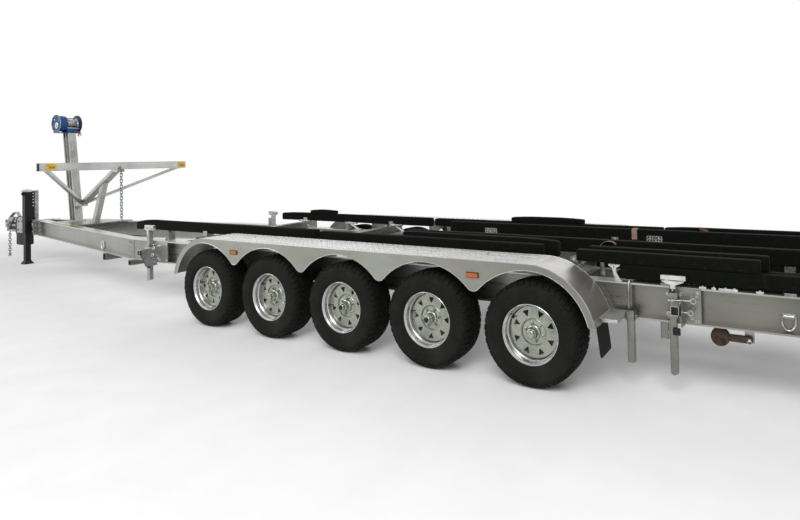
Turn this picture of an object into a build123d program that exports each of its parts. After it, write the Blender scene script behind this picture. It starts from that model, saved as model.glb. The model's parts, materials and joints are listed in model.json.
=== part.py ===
from build123d import *
import os
from math import atan2, cos, degrees, radians, sin, sqrt

# Five-axle boat trailer. +X points forward to the coupler, +Y to the left, +Z up.
# The origin is on the ground, on the centreline, half way along. Millimetres.

os.makedirs("parts", exist_ok=True)

# ---------------------------------------------------------------- driving sizes
front_tip_x = 7200.0
rear_end_x = -7200.0

# running gear
axle_count = 5
axle_mid_x = -2010.0
axle_pitch = 900.0
hub_z = 386.0
rim_face_y = 1220.0
tyre_radius = 386.0
tyre_width = 268.0
tyre_bulge = 18.0
tyre_side_radius = 312.0
tyre_bead_tuck = 18.0
shoulder = 34.0
wheel_flats = 28
rim_width = 230.0
rim_radius = 220.5
rim_wall = 7.0
rim_step = 17.0
rim_step_inset = 34.0
disc_inset = 78.0
disc_wall = 7.0
window_count = 8
window_ring_radius = 146.0
window_size = 23.0
hub_flats = 12
hub_radius = 57.0
hub_inset = 40.0
hub_cap_radius = 40.0
hub_cap_tip_radius = 29.0
spindle_radius = 24.0
spindle_end_gap = 12.0
running_gap = 0.05

# frame
beam_depth = 254.0
beam_width = 118.0
beam_web = 8.0
beam_flange = 12.0
frame_top_z = 745.0
beam_outer_y = 866.0
kink_x = 1790.0
apex_x = 5890.0
apex_y = 60.0
cross_width = 100.0
cross_height = 85.0
cross_wall = 6.0
cross_pitch = 1480.0
cross_first_x = -4000.0
cross_count = 4
low_cross_xs = (-5480.0, -6700.0)
stiffener_xs = (-4460.0, -1110.0, 690.0)
# tubes under the tongue: station, reach to each side, height
under_tubes = ((2597.0, 743.0, 90.0), (1690.0, 922.0, 62.0))
under_tube_width = 60.0
plate = 10.0

# fenders
fender_outer_y = 1250.0
fender_top_z = 900.0
fender_bottom_z = 502.0
fender_sheet = 5.0
arch_top_z = 852.0
tip_z = 665.0
tip_radius = 66.0
fender_gap = 3.0

# suspension and brakes
axle_tube = 75.0
arm_reach = 134.0
arm_wall = 28.0
arm_radius = 48.0
arm_inner_y = 905.0

# coupling, drawbar and jack
flange_plate = 20.0
drawbar_width = 150.0
drawbar_top_z = 705.0
drawbar_height = 185.0
coupler_back_x = 6442.0
coupler_width = 150.0
coupler_top_z = 775.0
coupler_bottom_z = 482.0
cheek_length = 265.0
cheek_round = 120.0
nose_length = 160.0
handle_height = 70.0
ball_radius = 29.6
ball_x = 7110.0
ball_depth = 60.0
battery_length = 285.0
battery_bottom_z = 276.0
jack_x = 6070.0
jack_y = 171.0
jack_rail_width = 50.0
jack_rail_depth = 48.0
jack_tube_size = 96.0
jack_tube_wall = 5.0
jack_top_z = 1228.0
jack_tube_bottom_z = 520.0
jack_leg_size = 76.0
jack_leg_top_z = 800.0
jack_foot_size = 130.0
jack_foot_height = 62.0

# winch post, bow frame and winch
post_foot_x = 4848.0
post_depth = 184.0
post_width = 100.0
post_sheet = 10.0
post_lean = 8.3
post_top_z = 2196.0
deck_rear_x = 4080.0
deck_front_x = 5060.0
deck_sheet = 12.0
bar_x = 3625.0
bar_z = 1645.0
bar_reach = 1041.0
bar_width = 75.0
bar_height = 112.0
arm_foot_x = 4650.0
arm_foot_z = 1040.0
centre_arm_width = 100.0
centre_arm_height = 50.0
side_arm_size = 45.0
side_arm_end_y = 960.0
prop_foot_x = 4290.0
prop_head_x = 4020.0
prop_size = 74.0
winch_radius = 145.0
winch_lift = 143.0
winch_flats = 24
drum_radius = 78.0
drum_left_y = 62.0
drum_right_y = -96.0
winch_side_wall = 24.0
winch_left_y = 189.0
winch_plate = 10.0
winch_shaft_radius = 16.0

# guide posts clamped to the beams
post_size = 50.0
post_wall = 4.0
clamp_front_x = 1304.0
clamp_rear_x = -4762.0
clamp_bottom_z = 500.0
clamp_top_z = 740.0
stub_end_y = 1070.0
stub_offset = 60.0
stub_z = 629.0
gusset_foot_y = 1005.0
gusset_foot_z = 462.0
pad_length = 170.0
pad_width = 30.0
pad_height = 36.0
pad_neck_height = 36.0
drop_post_x = -4466.0
drop_post_bottom_z = 192.0
drop_post_top_z = 560.0
hanger_x = -4685.0
hanger_size = 58.0
hanger_bottom_z = 365.0
step_z = 540.0
step_width = 245.0

# bunks: side, front x, rear x, distance of the middle from the centreline, base z, width, height
seat_gap = 0.3
bunk_base_z = 857.0
mid_bunk_height = 92.0
low_bunk_z = 760.0
low_bunk_height = 106.0
raised_bunk_z = low_bunk_z + low_bunk_height + seat_gap
bunk_table = (
    (1, 1790.0, -1266.0, 745.0, bunk_base_z, 76.0, 118.0),
    (1, -1330.0, -3734.0, 745.0, bunk_base_z, 76.0, 108.0),
    (1, -2287.0, -3827.0, 655.0, bunk_base_z, 76.0, 140.0),
    (1, -4376.0, -7120.0, 806.0, low_bunk_z, 76.0, low_bunk_height),
    (1, -4448.0, -7120.0, 718.0, low_bunk_z, 76.0, low_bunk_height),
    (1, -4038.0, -5310.0, 806.0, raised_bunk_z, 76.0, 90.0),
    (1, -4108.0, -5359.0, 718.0, raised_bunk_z, 76.0, 106.0),
    (1, -2140.0, -7120.0, 400.0, bunk_base_z, 76.0, 110.0),
    (-1, 900.0, -1640.0, 745.0, bunk_base_z, 76.0, 94.0),
    (-1, -1700.0, -4380.0, 745.0, bunk_base_z, 76.0, mid_bunk_height),
    (-1, -2725.0, -3563.0, 745.0, bunk_base_z + mid_bunk_height + seat_gap, 76.0, 58.0),
    (-1, -4448.0, -7120.0, 806.0, low_bunk_z, 76.0, low_bunk_height),
    (-1, -4448.0, -7120.0, 718.0, low_bunk_z, 76.0, low_bunk_height),
    (-1, -4383.0, -6900.0, 806.0, raised_bunk_z, 76.0, 86.0),
    (-1, -2140.0, -7120.0, 400.0, bunk_base_z, 76.0, 110.0),
)
bunk_edge = 11.0
bunk_stand_length = 60.0
beam_stand_xs = (1150.0, -300.0, -1900.0, -3300.0)
low_stand_xs = (-4700.0, -5480.0, -6700.0)
raised_stand_x = -4330.0

# rear stabilisers
stab_pivot_x = -5232.0
stab_drop = 71.0
stab_reach = 182.0
stab_arm_width = 30.0
stab_arm_height = 46.0
stab_foot_radius = 63.0
stab_foot_width = 56.0
stab_pin_radius = 10.0
stab_ear = 10.0

# lamps and small fittings
side_lamp_length = 110.0
side_lamp_height = 42.0
side_lamp_depth = 14.0
side_lamp_z = 786.0
marker_length = 130.0
marker_height = 60.0
marker_wall = 8.0
marker_insets = ((1, 138.0), (-1, 72.0))
tie_ring_rear_x = -5467.0
tie_ring_front_x = 2855.0
tie_ring_z = 606.0
ring_length = 116.0
ring_width = 92.0
ring_wire = 12.0
tail_lamp_depth = 38.0
chain_wire = 9.0
chain_pitch = 44.0
chain_link_width = 40.0
eye_wall = 12.0
eye_reach = 18.0
safety_chain_x = 7022.0
safety_chain_y = 40.0
safety_chain_z = 430.0
flap_inner_y = 950.0
flap_outer_y = 1190.0
flap_bottom_z = 268.0
flap_top_z = 540.0
flap_slope = 0.13
flap_wall = 8.0

# ---------------------------------------------------------------- derived places
axle_xs = [axle_mid_x + axle_pitch * ((axle_count - 1) / 2 - n) for n in range(axle_count)]
beam_y = beam_outer_y - beam_width / 2
frame_bottom_z = frame_top_z - beam_depth
beam_mid_z = frame_top_z - beam_depth / 2
cross_xs = [cross_first_x + cross_pitch * n for n in range(cross_count)]
cross_top_z = frame_top_z + cross_height
beam_rear_x = rear_end_x + tail_lamp_depth
beam_inner_y = beam_outer_y - beam_width
web_outer_y = beam_y + beam_web / 2
axle_tube_z = frame_bottom_z - axle_tube / 2
drawbar_z = drawbar_top_z - drawbar_height / 2
winch_x = post_foot_x + (post_top_z - frame_top_z) * sin(radians(post_lean)) / cos(radians(post_lean))
winch_z = post_top_z + winch_plate + winch_lift
stab_z = frame_bottom_z - stab_drop
bow_chain_x = bar_x - bar_width / 2 - eye_reach - 4
bow_chain_z = bar_z - bar_height / 2


def i_section(depth, width, web, flange):
    # upright I in the sketch's own x (across) and y (up)
    Rectangle(width, depth)
    pocket = (width - web) / 2
    with Locations(((web + pocket) / 2, 0), (-(web + pocket) / 2, 0)):
        Rectangle(pocket, depth - 2 * flange, mode=Mode.SUBTRACT)


def bar(start, end, across, high, wall=0.0):
    # straight tube or solid bar between two points, across level and high square to its run
    run = Vector(*end) - Vector(*start)
    level = run.cross(Vector(0, 0, 1))
    side = Vector(0, 1, 0) if level.length < 1e-6 * run.length else level
    with BuildSketch(Plane(origin=start, x_dir=side, z_dir=run)) as section:
        Rectangle(across, high)
        if wall:
            Rectangle(across - 2 * wall, high - 2 * wall, mode=Mode.SUBTRACT)
    extrude(section.sketch, amount=run.length)


def block(low, high, mode=Mode.ADD):
    # plain box between two corners
    size = Vector(*high) - Vector(*low)
    middle = (Vector(*high) + Vector(*low)) / 2
    with Locations(middle):
        Box(size.X, size.Y, size.Z, mode=mode)


def flat_ring(profile, flats):
    # ring about the Y axis with flat sides, its lowest flat level, from a closed run of (radius, y) corners
    step = 360 / flats
    corner_share = 1 / cos(radians(step / 2))

    def corner(place, turn):
        radius, y = place
        angle = radians(turn * step + step / 2 - 90)
        return Vector(radius * corner_share * cos(angle), y, radius * corner_share * sin(angle))

    faces = []
    for turn in range(flats):
        for here, there in zip(profile, profile[1:] + profile[:1]):
            outline = [corner(here, turn), corner(there, turn), corner(there, turn + 1), corner(here, turn + 1)]
            faces.append(Face(Wire.make_polygon(outline, close=True)))
    return Solid(Shell(faces))


def flat_disc(radius, flats, y0, y1, x=0.0, z=0.0, mode=Mode.ADD):
    # flat-sided disc across the trailer, its lowest side level
    with BuildSketch(Plane.XZ.offset(-max(y0, y1))) as face:
        with Locations((x, z)):
            RegularPolygon(radius, flats, major_radius=False, rotation=180 / flats)
    extrude(face.sketch, amount=abs(y1 - y0), mode=mode)


def mirrored(piece):
    # the same piece on the other side of the trailer
    with BuildPart() as other:
        mirror(piece.part, about=Plane.XZ)
    return other


# ---------------------------------------------------------------- main beams
tongue_run = Vector(apex_x - kink_x, apex_y - beam_y, 0).normalized()
mitre = Plane(origin=(kink_x, beam_y, 0), z_dir=(tongue_run + Vector(1, 0, 0)).normalized())

with BuildPart() as main_beam_left:
    with BuildSketch(Plane.YZ.offset(beam_rear_x)):
        with Locations((beam_y, beam_mid_z)):
            i_section(beam_depth, beam_width, beam_web, beam_flange)
    extrude(amount=kink_x - beam_rear_x + beam_width)
    split(bisect_by=mitre, keep=Keep.BOTTOM)
main_beam_right = mirrored(main_beam_left)

with BuildPart() as tongue_beam_left:
    tongue_start = Vector(kink_x, beam_y, beam_mid_z) - tongue_run * beam_width
    with BuildSketch(Plane(origin=tongue_start, x_dir=(-tongue_run.Y, tongue_run.X, 0), z_dir=tongue_run)):
        i_section(beam_depth, beam_width, beam_web, beam_flange)
    extrude(amount=(apex_x - kink_x) / tongue_run.X + 2 * beam_width)
    split(bisect_by=mitre, keep=Keep.TOP)
    split(bisect_by=Plane.YZ.offset(apex_x), keep=Keep.BOTTOM)
tongue_beam_right = mirrored(tongue_beam_left)

# ---------------------------------------------------------------- cross members and winch deck
def tongue_y(x):
    # centreline of the left tongue beam at a station along the trailer
    return beam_y + (x - kink_x) * tongue_run.Y / tongue_run.X


with BuildPart() as cross_members:
    for x in cross_xs:
        high_cross_z = cross_top_z - cross_height / 2
        bar((x, -beam_outer_y, high_cross_z), (x, beam_outer_y, high_cross_z),
            cross_width, cross_height, cross_wall)
    for x in low_cross_xs:
        low_cross_z = frame_top_z - beam_flange - 8 - cross_height / 2
        bar((x, -beam_y + beam_web / 2, low_cross_z), (x, beam_y - beam_web / 2, low_cross_z),
            cross_width, cross_height, cross_wall)
    # I-beam that closes the frame at the rear
    with BuildSketch(Plane.XZ.offset(-beam_inner_y)):
        with Locations((beam_rear_x + beam_width / 2, beam_mid_z)):
            i_section(beam_depth, beam_width, beam_web, beam_flange)
    extrude(amount=2 * beam_inner_y)
    # open tubes bolted under the front of the frame
    for x, reach, high in under_tubes:
        bar((x, -reach, frame_bottom_z - high / 2), (x, reach, frame_bottom_z - high / 2),
            under_tube_width, high, cross_wall)
    # upright stiffeners in the outer channels of the beams
    for side in (-1, 1):
        for x in stiffener_xs:
            inner_y, outer_y = sorted((side * web_outer_y, side * beam_outer_y))
            block((x - plate / 2, inner_y, frame_bottom_z + beam_flange),
                  (x + plate / 2, outer_y, frame_top_z - beam_flange))
    # deck plate that carries the winch post, following the tongue beams
    deck_edge = [(x, tongue_y(x) + beam_width / 2) for x in (deck_rear_x, deck_front_x)]
    with BuildSketch(Plane.XY.offset(frame_top_z)):
        Polygon(*deck_edge, *[(x, -y) for x, y in reversed(deck_edge)], align=None)
    extrude(amount=deck_sheet)

# ---------------------------------------------------------------- chains
def chain(x, y, top_z, count):
    # links hang in turn along and across the trailer, each a straight-sided ring
    for n in range(count):
        with BuildSketch(Plane.XZ if n % 2 else Plane.YZ) as link:
            Rectangle(chain_link_width, chain_pitch + 2 * chain_wire)
            chamfer(link.vertices(), chain_link_width * 0.3)
            with BuildSketch(mode=Mode.SUBTRACT) as opening:
                Rectangle(chain_link_width - 2 * chain_wire, chain_pitch)
                chamfer(opening.vertices(), (chain_link_width - 2 * chain_wire) * 0.3)
        with BuildPart(mode=Mode.PRIVATE) as ring:
            extrude(link.sketch, amount=chain_wire / 2, both=True)
        with Locations((x, y, top_z - n * chain_pitch)):
            add(ring.part)


def eye_hole(x, y, link_z):
    # hole in an upright plate, its lower edge in the crown of the first link
    seat_z = link_z + chain_pitch / 2 - seat_gap
    with BuildSketch(Plane.XZ.offset(-y)) as hole:
        with Locations((x, seat_z + sqrt(chain_wire ** 2 - (chain_wire / 2) ** 2))):
            Circle(chain_wire)
    extrude(hole.sketch, amount=eye_wall, both=True, mode=Mode.SUBTRACT)


# ---------------------------------------------------------------- drawbar and coupler
with BuildPart() as drawbar:
    # two bolted flange plates, then the box drawbar
    block((apex_x, -drawbar_width, frame_bottom_z), (apex_x + 2 * flange_plate, drawbar_width, frame_top_z))
    bar((apex_x + flange_plate, 0, drawbar_z), (coupler_back_x, 0, drawbar_z), drawbar_width, drawbar_height)

cheek_front_x = coupler_back_x + cheek_length
nose_back_x = front_tip_x - nose_length
nose_width = coupler_width * 0.62
nose_bottom_z = coupler_bottom_z + 14
nose_top_z = coupler_top_z - 70
with BuildPart() as coupler:
    # cheek housing, sloped where it meets the body
    with BuildSketch(Plane.XZ.offset(-coupler_width / 2)):
        Polygon((coupler_back_x, coupler_bottom_z), (coupler_back_x, coupler_top_z),
                (cheek_front_x - cheek_round * 0.6, coupler_top_z),
                (cheek_front_x - cheek_round * 0.15, coupler_top_z - cheek_round / 3),
                (cheek_front_x, coupler_top_z - cheek_round), (cheek_front_x, coupler_bottom_z), align=None)
    extrude(amount=coupler_width)
    # body and nose, each lower and narrower than the last
    body_width = coupler_width * 0.76
    block((cheek_front_x, -body_width / 2, nose_bottom_z), (nose_back_x, body_width / 2, coupler_top_z - 22))
    block((nose_back_x, -nose_width / 2, nose_bottom_z), (front_tip_x, nose_width / 2, nose_top_z))
    # latch handle on the top, highest near its middle
    with BuildSketch(Plane.XZ.offset(-coupler_width * 0.2)):
        Polygon((cheek_front_x + 20, coupler_top_z - 24), (cheek_front_x + 130, coupler_top_z + handle_height),
                (cheek_front_x + 240, coupler_top_z + handle_height * 0.9),
                (nose_back_x + 60, coupler_top_z - 10), (nose_back_x + 60, nose_top_z - 10),
                (nose_back_x - 20, nose_top_z - 10), align=None)
    extrude(amount=coupler_width * 0.4)
    # eye of the safety chain under the body
    block((safety_chain_x - eye_reach, safety_chain_y - eye_wall / 2, safety_chain_z),
          (safety_chain_x + eye_reach, safety_chain_y + eye_wall / 2, coupler_bottom_z + 20))
    eye_hole(safety_chain_x, safety_chain_y, safety_chain_z)
    # socket for the towing ball, open at the bottom
    with Locations((ball_x, 0, nose_bottom_z)):
        Cylinder(ball_radius, ball_depth, align=(Align.CENTER, Align.CENTER, Align.MIN), mode=Mode.SUBTRACT)

with BuildPart() as battery_box:
    battery_top_z = min(coupler_bottom_z, drawbar_top_z - drawbar_height) - seat_gap
    block((coupler_back_x - 20, -drawbar_width / 2, battery_bottom_z),
          (coupler_back_x - 20 + battery_length, drawbar_width / 2, battery_top_z))
    chamfer(battery_box.edges().filter_by(Axis.Y).group_by(Axis.Z)[0], 30)


with BuildPart() as safety_chain:
    chain(safety_chain_x, safety_chain_y, safety_chain_z, 9)

with BuildPart() as bow_chain:
    chain(bow_chain_x, 0, bow_chain_z, 18)

# ---------------------------------------------------------------- jack
jack_plate_y = drawbar_width / 2
with BuildPart() as jack_bracket:
    # plate on the side of the drawbar and clamp blocks to the jack
    half_tube = jack_tube_size / 2
    jack_inner_y = jack_y - half_tube
    block((apex_x + 2 * flange_plate + seat_gap, jack_plate_y, drawbar_z - 85),
          (jack_x + half_tube + 12, jack_plate_y + plate, drawbar_z + 170))
    for z in (drawbar_z - 60, drawbar_z + 90):
        block((jack_x - half_tube, jack_plate_y + plate, z), (jack_x + half_tube, jack_inner_y, z + 50))
    # upright rail on the drawbar beside the jack, with a plate over both
    rail_x = jack_x - half_tube
    block((rail_x, jack_plate_y - jack_rail_width, drawbar_top_z),
          (rail_x + jack_rail_depth, jack_plate_y, jack_top_z))
    block((rail_x, jack_plate_y - jack_rail_width, jack_top_z),
          (jack_x + half_tube, jack_y + half_tube + 20, jack_top_z + plate))

with BuildPart() as jack_tube:
    with BuildSketch(Plane.XY.offset(jack_tube_bottom_z)):
        with Locations((jack_x, jack_y)):
            Rectangle(jack_tube_size, jack_tube_size)
            Rectangle(jack_tube_size - 2 * jack_tube_wall, jack_tube_size - 2 * jack_tube_wall,
                      mode=Mode.SUBTRACT)
    extrude(amount=jack_top_z - jack_tube_bottom_z - jack_tube_wall)
    # guide collar at the mouth and the closed cap
    with BuildSketch(Plane.XY.offset(jack_tube_bottom_z)):
        with Locations((jack_x, jack_y)):
            Rectangle(jack_tube_size, jack_tube_size)
            Rectangle(jack_leg_size + 2 * seat_gap, jack_leg_size + 2 * seat_gap, mode=Mode.SUBTRACT)
    extrude(amount=40)
    tube_top_z = jack_top_z - seat_gap
    block((jack_x - half_tube, jack_y - half_tube, jack_top_z - jack_tube_wall),
          (jack_x + half_tube, jack_y + half_tube, tube_top_z))
    # channel with the height holes, between the tube and the rail
    block((rail_x, jack_plate_y + plate + seat_gap, drawbar_z + 90 + 50 + seat_gap),
          (rail_x + jack_rail_depth, jack_inner_y, tube_top_z))

with BuildPart() as jack_leg:
    half_leg = jack_leg_size / 2
    block((jack_x - half_leg, jack_y - half_leg, jack_foot_height),
          (jack_x + half_leg, jack_y + half_leg, jack_leg_top_z))
    for z, size in ((0, jack_foot_size), (14, jack_foot_size)):
        with BuildSketch(Plane.XY.offset(z)):
            with Locations((jack_x, jack_y)):
                Rectangle(size, size)
    loft()
    for z, size in ((14, jack_foot_size), (jack_foot_height, jack_leg_size)):
        with BuildSketch(Plane.XY.offset(z)):
            with Locations((jack_x, jack_y)):
                Rectangle(size, size)
    loft()

# ---------------------------------------------------------------- winch post and bow frame
lean = Vector(sin(radians(post_lean)), 0, cos(radians(post_lean)))
deck_top_z = frame_top_z + deck_sheet
post_foot = Vector(post_foot_x, 0, frame_top_z)
post_rear_foot = post_foot - Vector(post_depth / 2 / lean.Z, 0, 0)
post_rear = Plane(origin=post_rear_foot, x_dir=(0, 1, 0), z_dir=(-lean.Z, 0, lean.X))

with BuildPart() as winch_post:
    with BuildSketch(Plane(origin=post_foot - lean * post_depth, x_dir=(0, 1, 0), z_dir=lean)):
        i_section(post_depth, post_width, post_sheet, post_sheet)
    extrude(amount=(post_top_z - frame_top_z) / lean.Z + 2 * post_depth)
    split(bisect_by=Plane.XY.offset(deck_top_z), keep=Keep.TOP)
    split(bisect_by=Plane.XY.offset(post_top_z), keep=Keep.BOTTOM)

with BuildPart() as bow_frame:
    arm_foot = (arm_foot_x, 0, arm_foot_z)
    arm_head_z = bar_z - bar_height / 4
    bar(arm_foot, (bar_x, 0, arm_head_z), centre_arm_width, centre_arm_height)
    for y in (-side_arm_end_y, side_arm_end_y):
        bar(arm_foot, (bar_x, y, arm_head_z), side_arm_size, side_arm_size)
    # socket that carries the arms behind the post
    block((arm_foot_x - 30, -centre_arm_width / 2, arm_foot_z - 40),
          (post_foot_x, centre_arm_width / 2, arm_foot_z + 20))
    split(bisect_by=post_rear, keep=Keep.TOP)
    bar((bar_x, -bar_reach, bar_z), (bar_x, bar_reach, bar_z), bar_width, bar_height)
    prop_foot = Vector(prop_foot_x, 0, frame_top_z)
    head_share = (arm_foot_x - prop_head_x) / (arm_foot_x - bar_x)
    prop_head = Vector(prop_head_x, 0, arm_foot_z + head_share * (arm_head_z - arm_foot_z))
    bar(prop_foot - (prop_head - prop_foot) * 0.2, prop_head, prop_size, prop_size)
    split(bisect_by=Plane.XY.offset(deck_top_z), keep=Keep.TOP)
    # eye that holds the bow chain
    block((bow_chain_x - eye_reach, -eye_wall / 2, bow_chain_z), (bar_x - bar_width / 2, eye_wall / 2, bar_z))
    eye_hole(bow_chain_x, 0, bow_chain_z)

with BuildPart() as bar_markers:
    for side, inset in marker_insets:
        y = side * (bar_reach - inset)
        block((bar_x - bar_width / 2 - marker_wall, y - marker_length / 2, bar_z - marker_height / 2),
              (bar_x - bar_width / 2, y + marker_length / 2, bar_z + marker_height / 2))

# ---------------------------------------------------------------- winch
winch_base_z = post_top_z
with BuildPart() as winch_frame:
    winch_right_y = drum_right_y - 6 - winch_side_wall
    gear_case_y = drum_left_y + 6
    block((winch_x - 95, winch_right_y, winch_base_z), (winch_x + 95, winch_left_y, winch_base_z + winch_plate))
    # round side plates and gear case stand on the base and carry the drum shaft
    for y0, y1, radius in ((winch_right_y, winch_right_y + winch_side_wall, winch_radius),
                           (gear_case_y, winch_left_y - 12, winch_radius * 0.86),
                           (winch_left_y - 12, winch_left_y, winch_radius)):
        flat_disc(radius, winch_flats, y0, y1, winch_x, winch_z)
    # tie bar over the drum and the crank boss on the gear case
    block((winch_x + 60, winch_right_y, winch_z + 92), (winch_x + 84, gear_case_y, winch_z + 104))
    flat_disc(32, hub_flats, winch_left_y, winch_left_y + 26, winch_x - 30, winch_z - 34)
    shaft_bore_y = drum_left_y + 60
    with BuildSketch(Plane.XZ.offset(-shaft_bore_y)):
        with Locations((winch_x, winch_z)):
            Circle(winch_shaft_radius + running_gap)
    extrude(amount=shaft_bore_y - winch_right_y + 10, mode=Mode.SUBTRACT)

with BuildPart() as winch_drum:
    flat_disc(drum_radius, winch_flats, drum_right_y, drum_left_y, winch_x, winch_z)
    shaft_left_y = drum_left_y + 50
    shaft_right_y = drum_right_y - 6 - winch_side_wall * 0.8
    with BuildSketch(Plane.XZ.offset(-shaft_left_y)):
        with Locations((winch_x, winch_z)):
            Circle(winch_shaft_radius)
    extrude(amount=shaft_left_y - shaft_right_y)
    # rope clamp that shows the drum turning
    with Locations((winch_x, (drum_left_y + drum_right_y) / 2 + 40, winch_z + drum_radius)):
        Box(34, 26, 14)

with BuildPart() as hook_strap:
    # webbing tail and snap hook hanging from the base at the right side plate
    tail_x = winch_x - 95
    block((tail_x - 10, winch_right_y, winch_base_z - 70),
          (tail_x - seat_gap, winch_right_y + 50, winch_base_z + 24))

# ---------------------------------------------------------------- axles and swing arms
with BuildPart() as axle_tubes:
    for x in axle_xs:
        tube_x = x + arm_reach
        bar((tube_x, -arm_inner_y, axle_tube_z), (tube_x, arm_inner_y, axle_tube_z), axle_tube, axle_tube)

with BuildPart() as swing_arms:
    for side in (-1, 1):
        for x in axle_xs:
            outer = side * (arm_inner_y + arm_wall)
            with BuildSketch(Plane.XZ.offset(-max(outer, side * arm_inner_y))) as arm_face:
                with Locations((x, hub_z), (x + arm_reach, axle_tube_z)):
                    RegularPolygon(arm_radius, 8)
                make_hull()
            extrude(amount=arm_wall)
            with BuildSketch(Plane.XZ.offset(-outer)):
                with Locations((x, hub_z)):
                    Circle(spindle_radius)
            extrude(amount=-side * (rim_face_y - disc_inset - spindle_end_gap - arm_inner_y - arm_wall))

# ---------------------------------------------------------------- wheels
# drawn about the Y axis, y = 0 at the outer lip of the rim; rings have flat sides, a level one lowest
tyre_back = tyre_bulge - tyre_width
tyre_seat = rim_radius + seat_gap
with BuildPart() as tyre:
    add(flat_ring([(tyre_seat, tyre_bulge - tyre_bead_tuck), (tyre_side_radius, tyre_bulge),
                   (tyre_radius, tyre_bulge - shoulder), (tyre_radius, tyre_back + shoulder),
                   (tyre_side_radius, tyre_back), (tyre_seat, tyre_back + tyre_bead_tuck)], wheel_flats))

hub_back = arm_inner_y + arm_wall + 2 - rim_face_y
disc_back = -disc_inset - disc_wall
barrel_radius = rim_radius - rim_step
with BuildPart() as wheel:
    # barrel with its lip, stepped in towards the disc
    add(flat_ring([(rim_radius, 0), (rim_radius, -rim_width), (rim_radius - rim_wall, -rim_width),
                   (barrel_radius, -disc_inset - rim_step_inset), (barrel_radius, -rim_step_inset),
                   (rim_radius - rim_wall, 0)], wheel_flats))
    # disc with the brake hub behind it and the capped hub in front
    flat_disc(barrel_radius + 1, wheel_flats, disc_back, -disc_inset)
    with BuildSketch(Plane.XZ.offset(disc_inset - 1)) as windows:
        with PolarLocations(window_ring_radius, window_count):
            RegularPolygon(window_size, 3)
    extrude(windows.sketch, amount=disc_wall + 2, mode=Mode.SUBTRACT)
    flat_disc(hub_radius, hub_flats, -disc_inset, -hub_inset)
    hub_face = Plane(origin=(0, -hub_inset, 0), x_dir=(1, 0, 0), z_dir=(0, 1, 0))
    with BuildSketch(hub_face) as cap_foot:
        RegularPolygon(hub_cap_radius, hub_flats)
    cap_taper = degrees(atan2(hub_cap_radius - hub_cap_tip_radius, hub_inset))
    extrude(cap_foot.sketch, amount=hub_inset, taper=cap_taper)
    flat_disc(hub_radius, hub_flats, hub_back, disc_back)
    with BuildSketch(Plane.XZ.offset(-disc_back)) as spindle_bore:
        Circle(spindle_radius + running_gap)
    extrude(spindle_bore.sketch, amount=disc_back - hub_back + 1, mode=Mode.SUBTRACT)

# ---------------------------------------------------------------- fenders
fender_radius = fender_top_z - hub_z
end_arch_radius = arch_top_z - hub_z
front_x, last_x = axle_xs[0], axle_xs[-1]
half_pitch = axle_pitch / 2
tip_rise = tip_z + tip_radius - arch_top_z
arch_radius = (half_pitch ** 2 + tip_rise ** 2 - tip_radius ** 2) / (2 * (tip_radius - tip_rise))
arch_z = arch_top_z - arch_radius


def fender_outline(inset=0.0):
    # side view of the whole fender: two quarter-round ends and a level top
    radius = fender_radius - inset
    foot = sqrt(radius ** 2 - (fender_bottom_z - hub_z) ** 2)
    slant = radius * sqrt(0.5)
    front_end, rear_end = (front_x + foot, fender_bottom_z), (last_x - foot, fender_bottom_z)
    with BuildLine() as outline:
        ThreePointArc(front_end, (front_x + slant, hub_z + slant), (front_x, hub_z + radius))
        Line((front_x, hub_z + radius), (last_x, hub_z + radius))
        ThreePointArc((last_x, hub_z + radius), (last_x - slant, hub_z + slant), rear_end)
        Line(rear_end, front_end)
    make_face(outline.edges())


def arch_outline():
    # everything below the scalloped edge of the skirt
    foot = sqrt(end_arch_radius ** 2 - (fender_bottom_z - hub_z) ** 2)
    slant = end_arch_radius * sqrt(0.5)
    reach = arch_radius / (arch_radius + tip_radius)
    tip_x = half_pitch * reach
    tip_join_z = arch_z + (tip_z + tip_radius - arch_z) * reach
    low_z = fender_bottom_z - 200
    front_end, rear_end = (front_x + foot, fender_bottom_z), (last_x - foot, fender_bottom_z)
    with BuildLine() as outline:
        ThreePointArc(front_end, (front_x + slant, hub_z + slant), (front_x, arch_top_z))
        for x, ahead in zip(axle_xs, axle_xs[1:]):
            half = half_pitch * 0.5
            half_z = arch_z + sqrt(arch_radius ** 2 - half ** 2)
            ThreePointArc((x, arch_top_z), (x - half, half_z), (x - tip_x, tip_join_z))
            ThreePointArc((x - tip_x, tip_join_z), (x - half_pitch, tip_z), (ahead + tip_x, tip_join_z))
            ThreePointArc((ahead + tip_x, tip_join_z), (ahead + half, half_z), (ahead, arch_top_z))
        ThreePointArc((last_x, arch_top_z), (last_x - slant, hub_z + slant), rear_end)
        Polyline(rear_end, (last_x - foot, low_z), (front_x + foot, low_z), front_end)
    make_face(outline.edges())


with BuildPart() as fender_left:
    with BuildSketch(Plane.XZ.offset(-fender_outer_y)):
        fender_outline()
        with BuildSketch(mode=Mode.SUBTRACT):
            arch_outline()
    extrude(amount=fender_sheet)
    with BuildSketch(Plane.XZ.offset(-fender_outer_y)):
        fender_outline()
        with BuildSketch(mode=Mode.SUBTRACT):
            fender_outline(fender_sheet)
        with Locations((axle_mid_x, fender_bottom_z)):
            Rectangle(front_x - last_x + 2 * fender_radius - 30, 2 * fender_sheet + 2, mode=Mode.SUBTRACT)
    extrude(amount=fender_outer_y - beam_outer_y - fender_gap)
fender_right = mirrored(fender_left)

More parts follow.
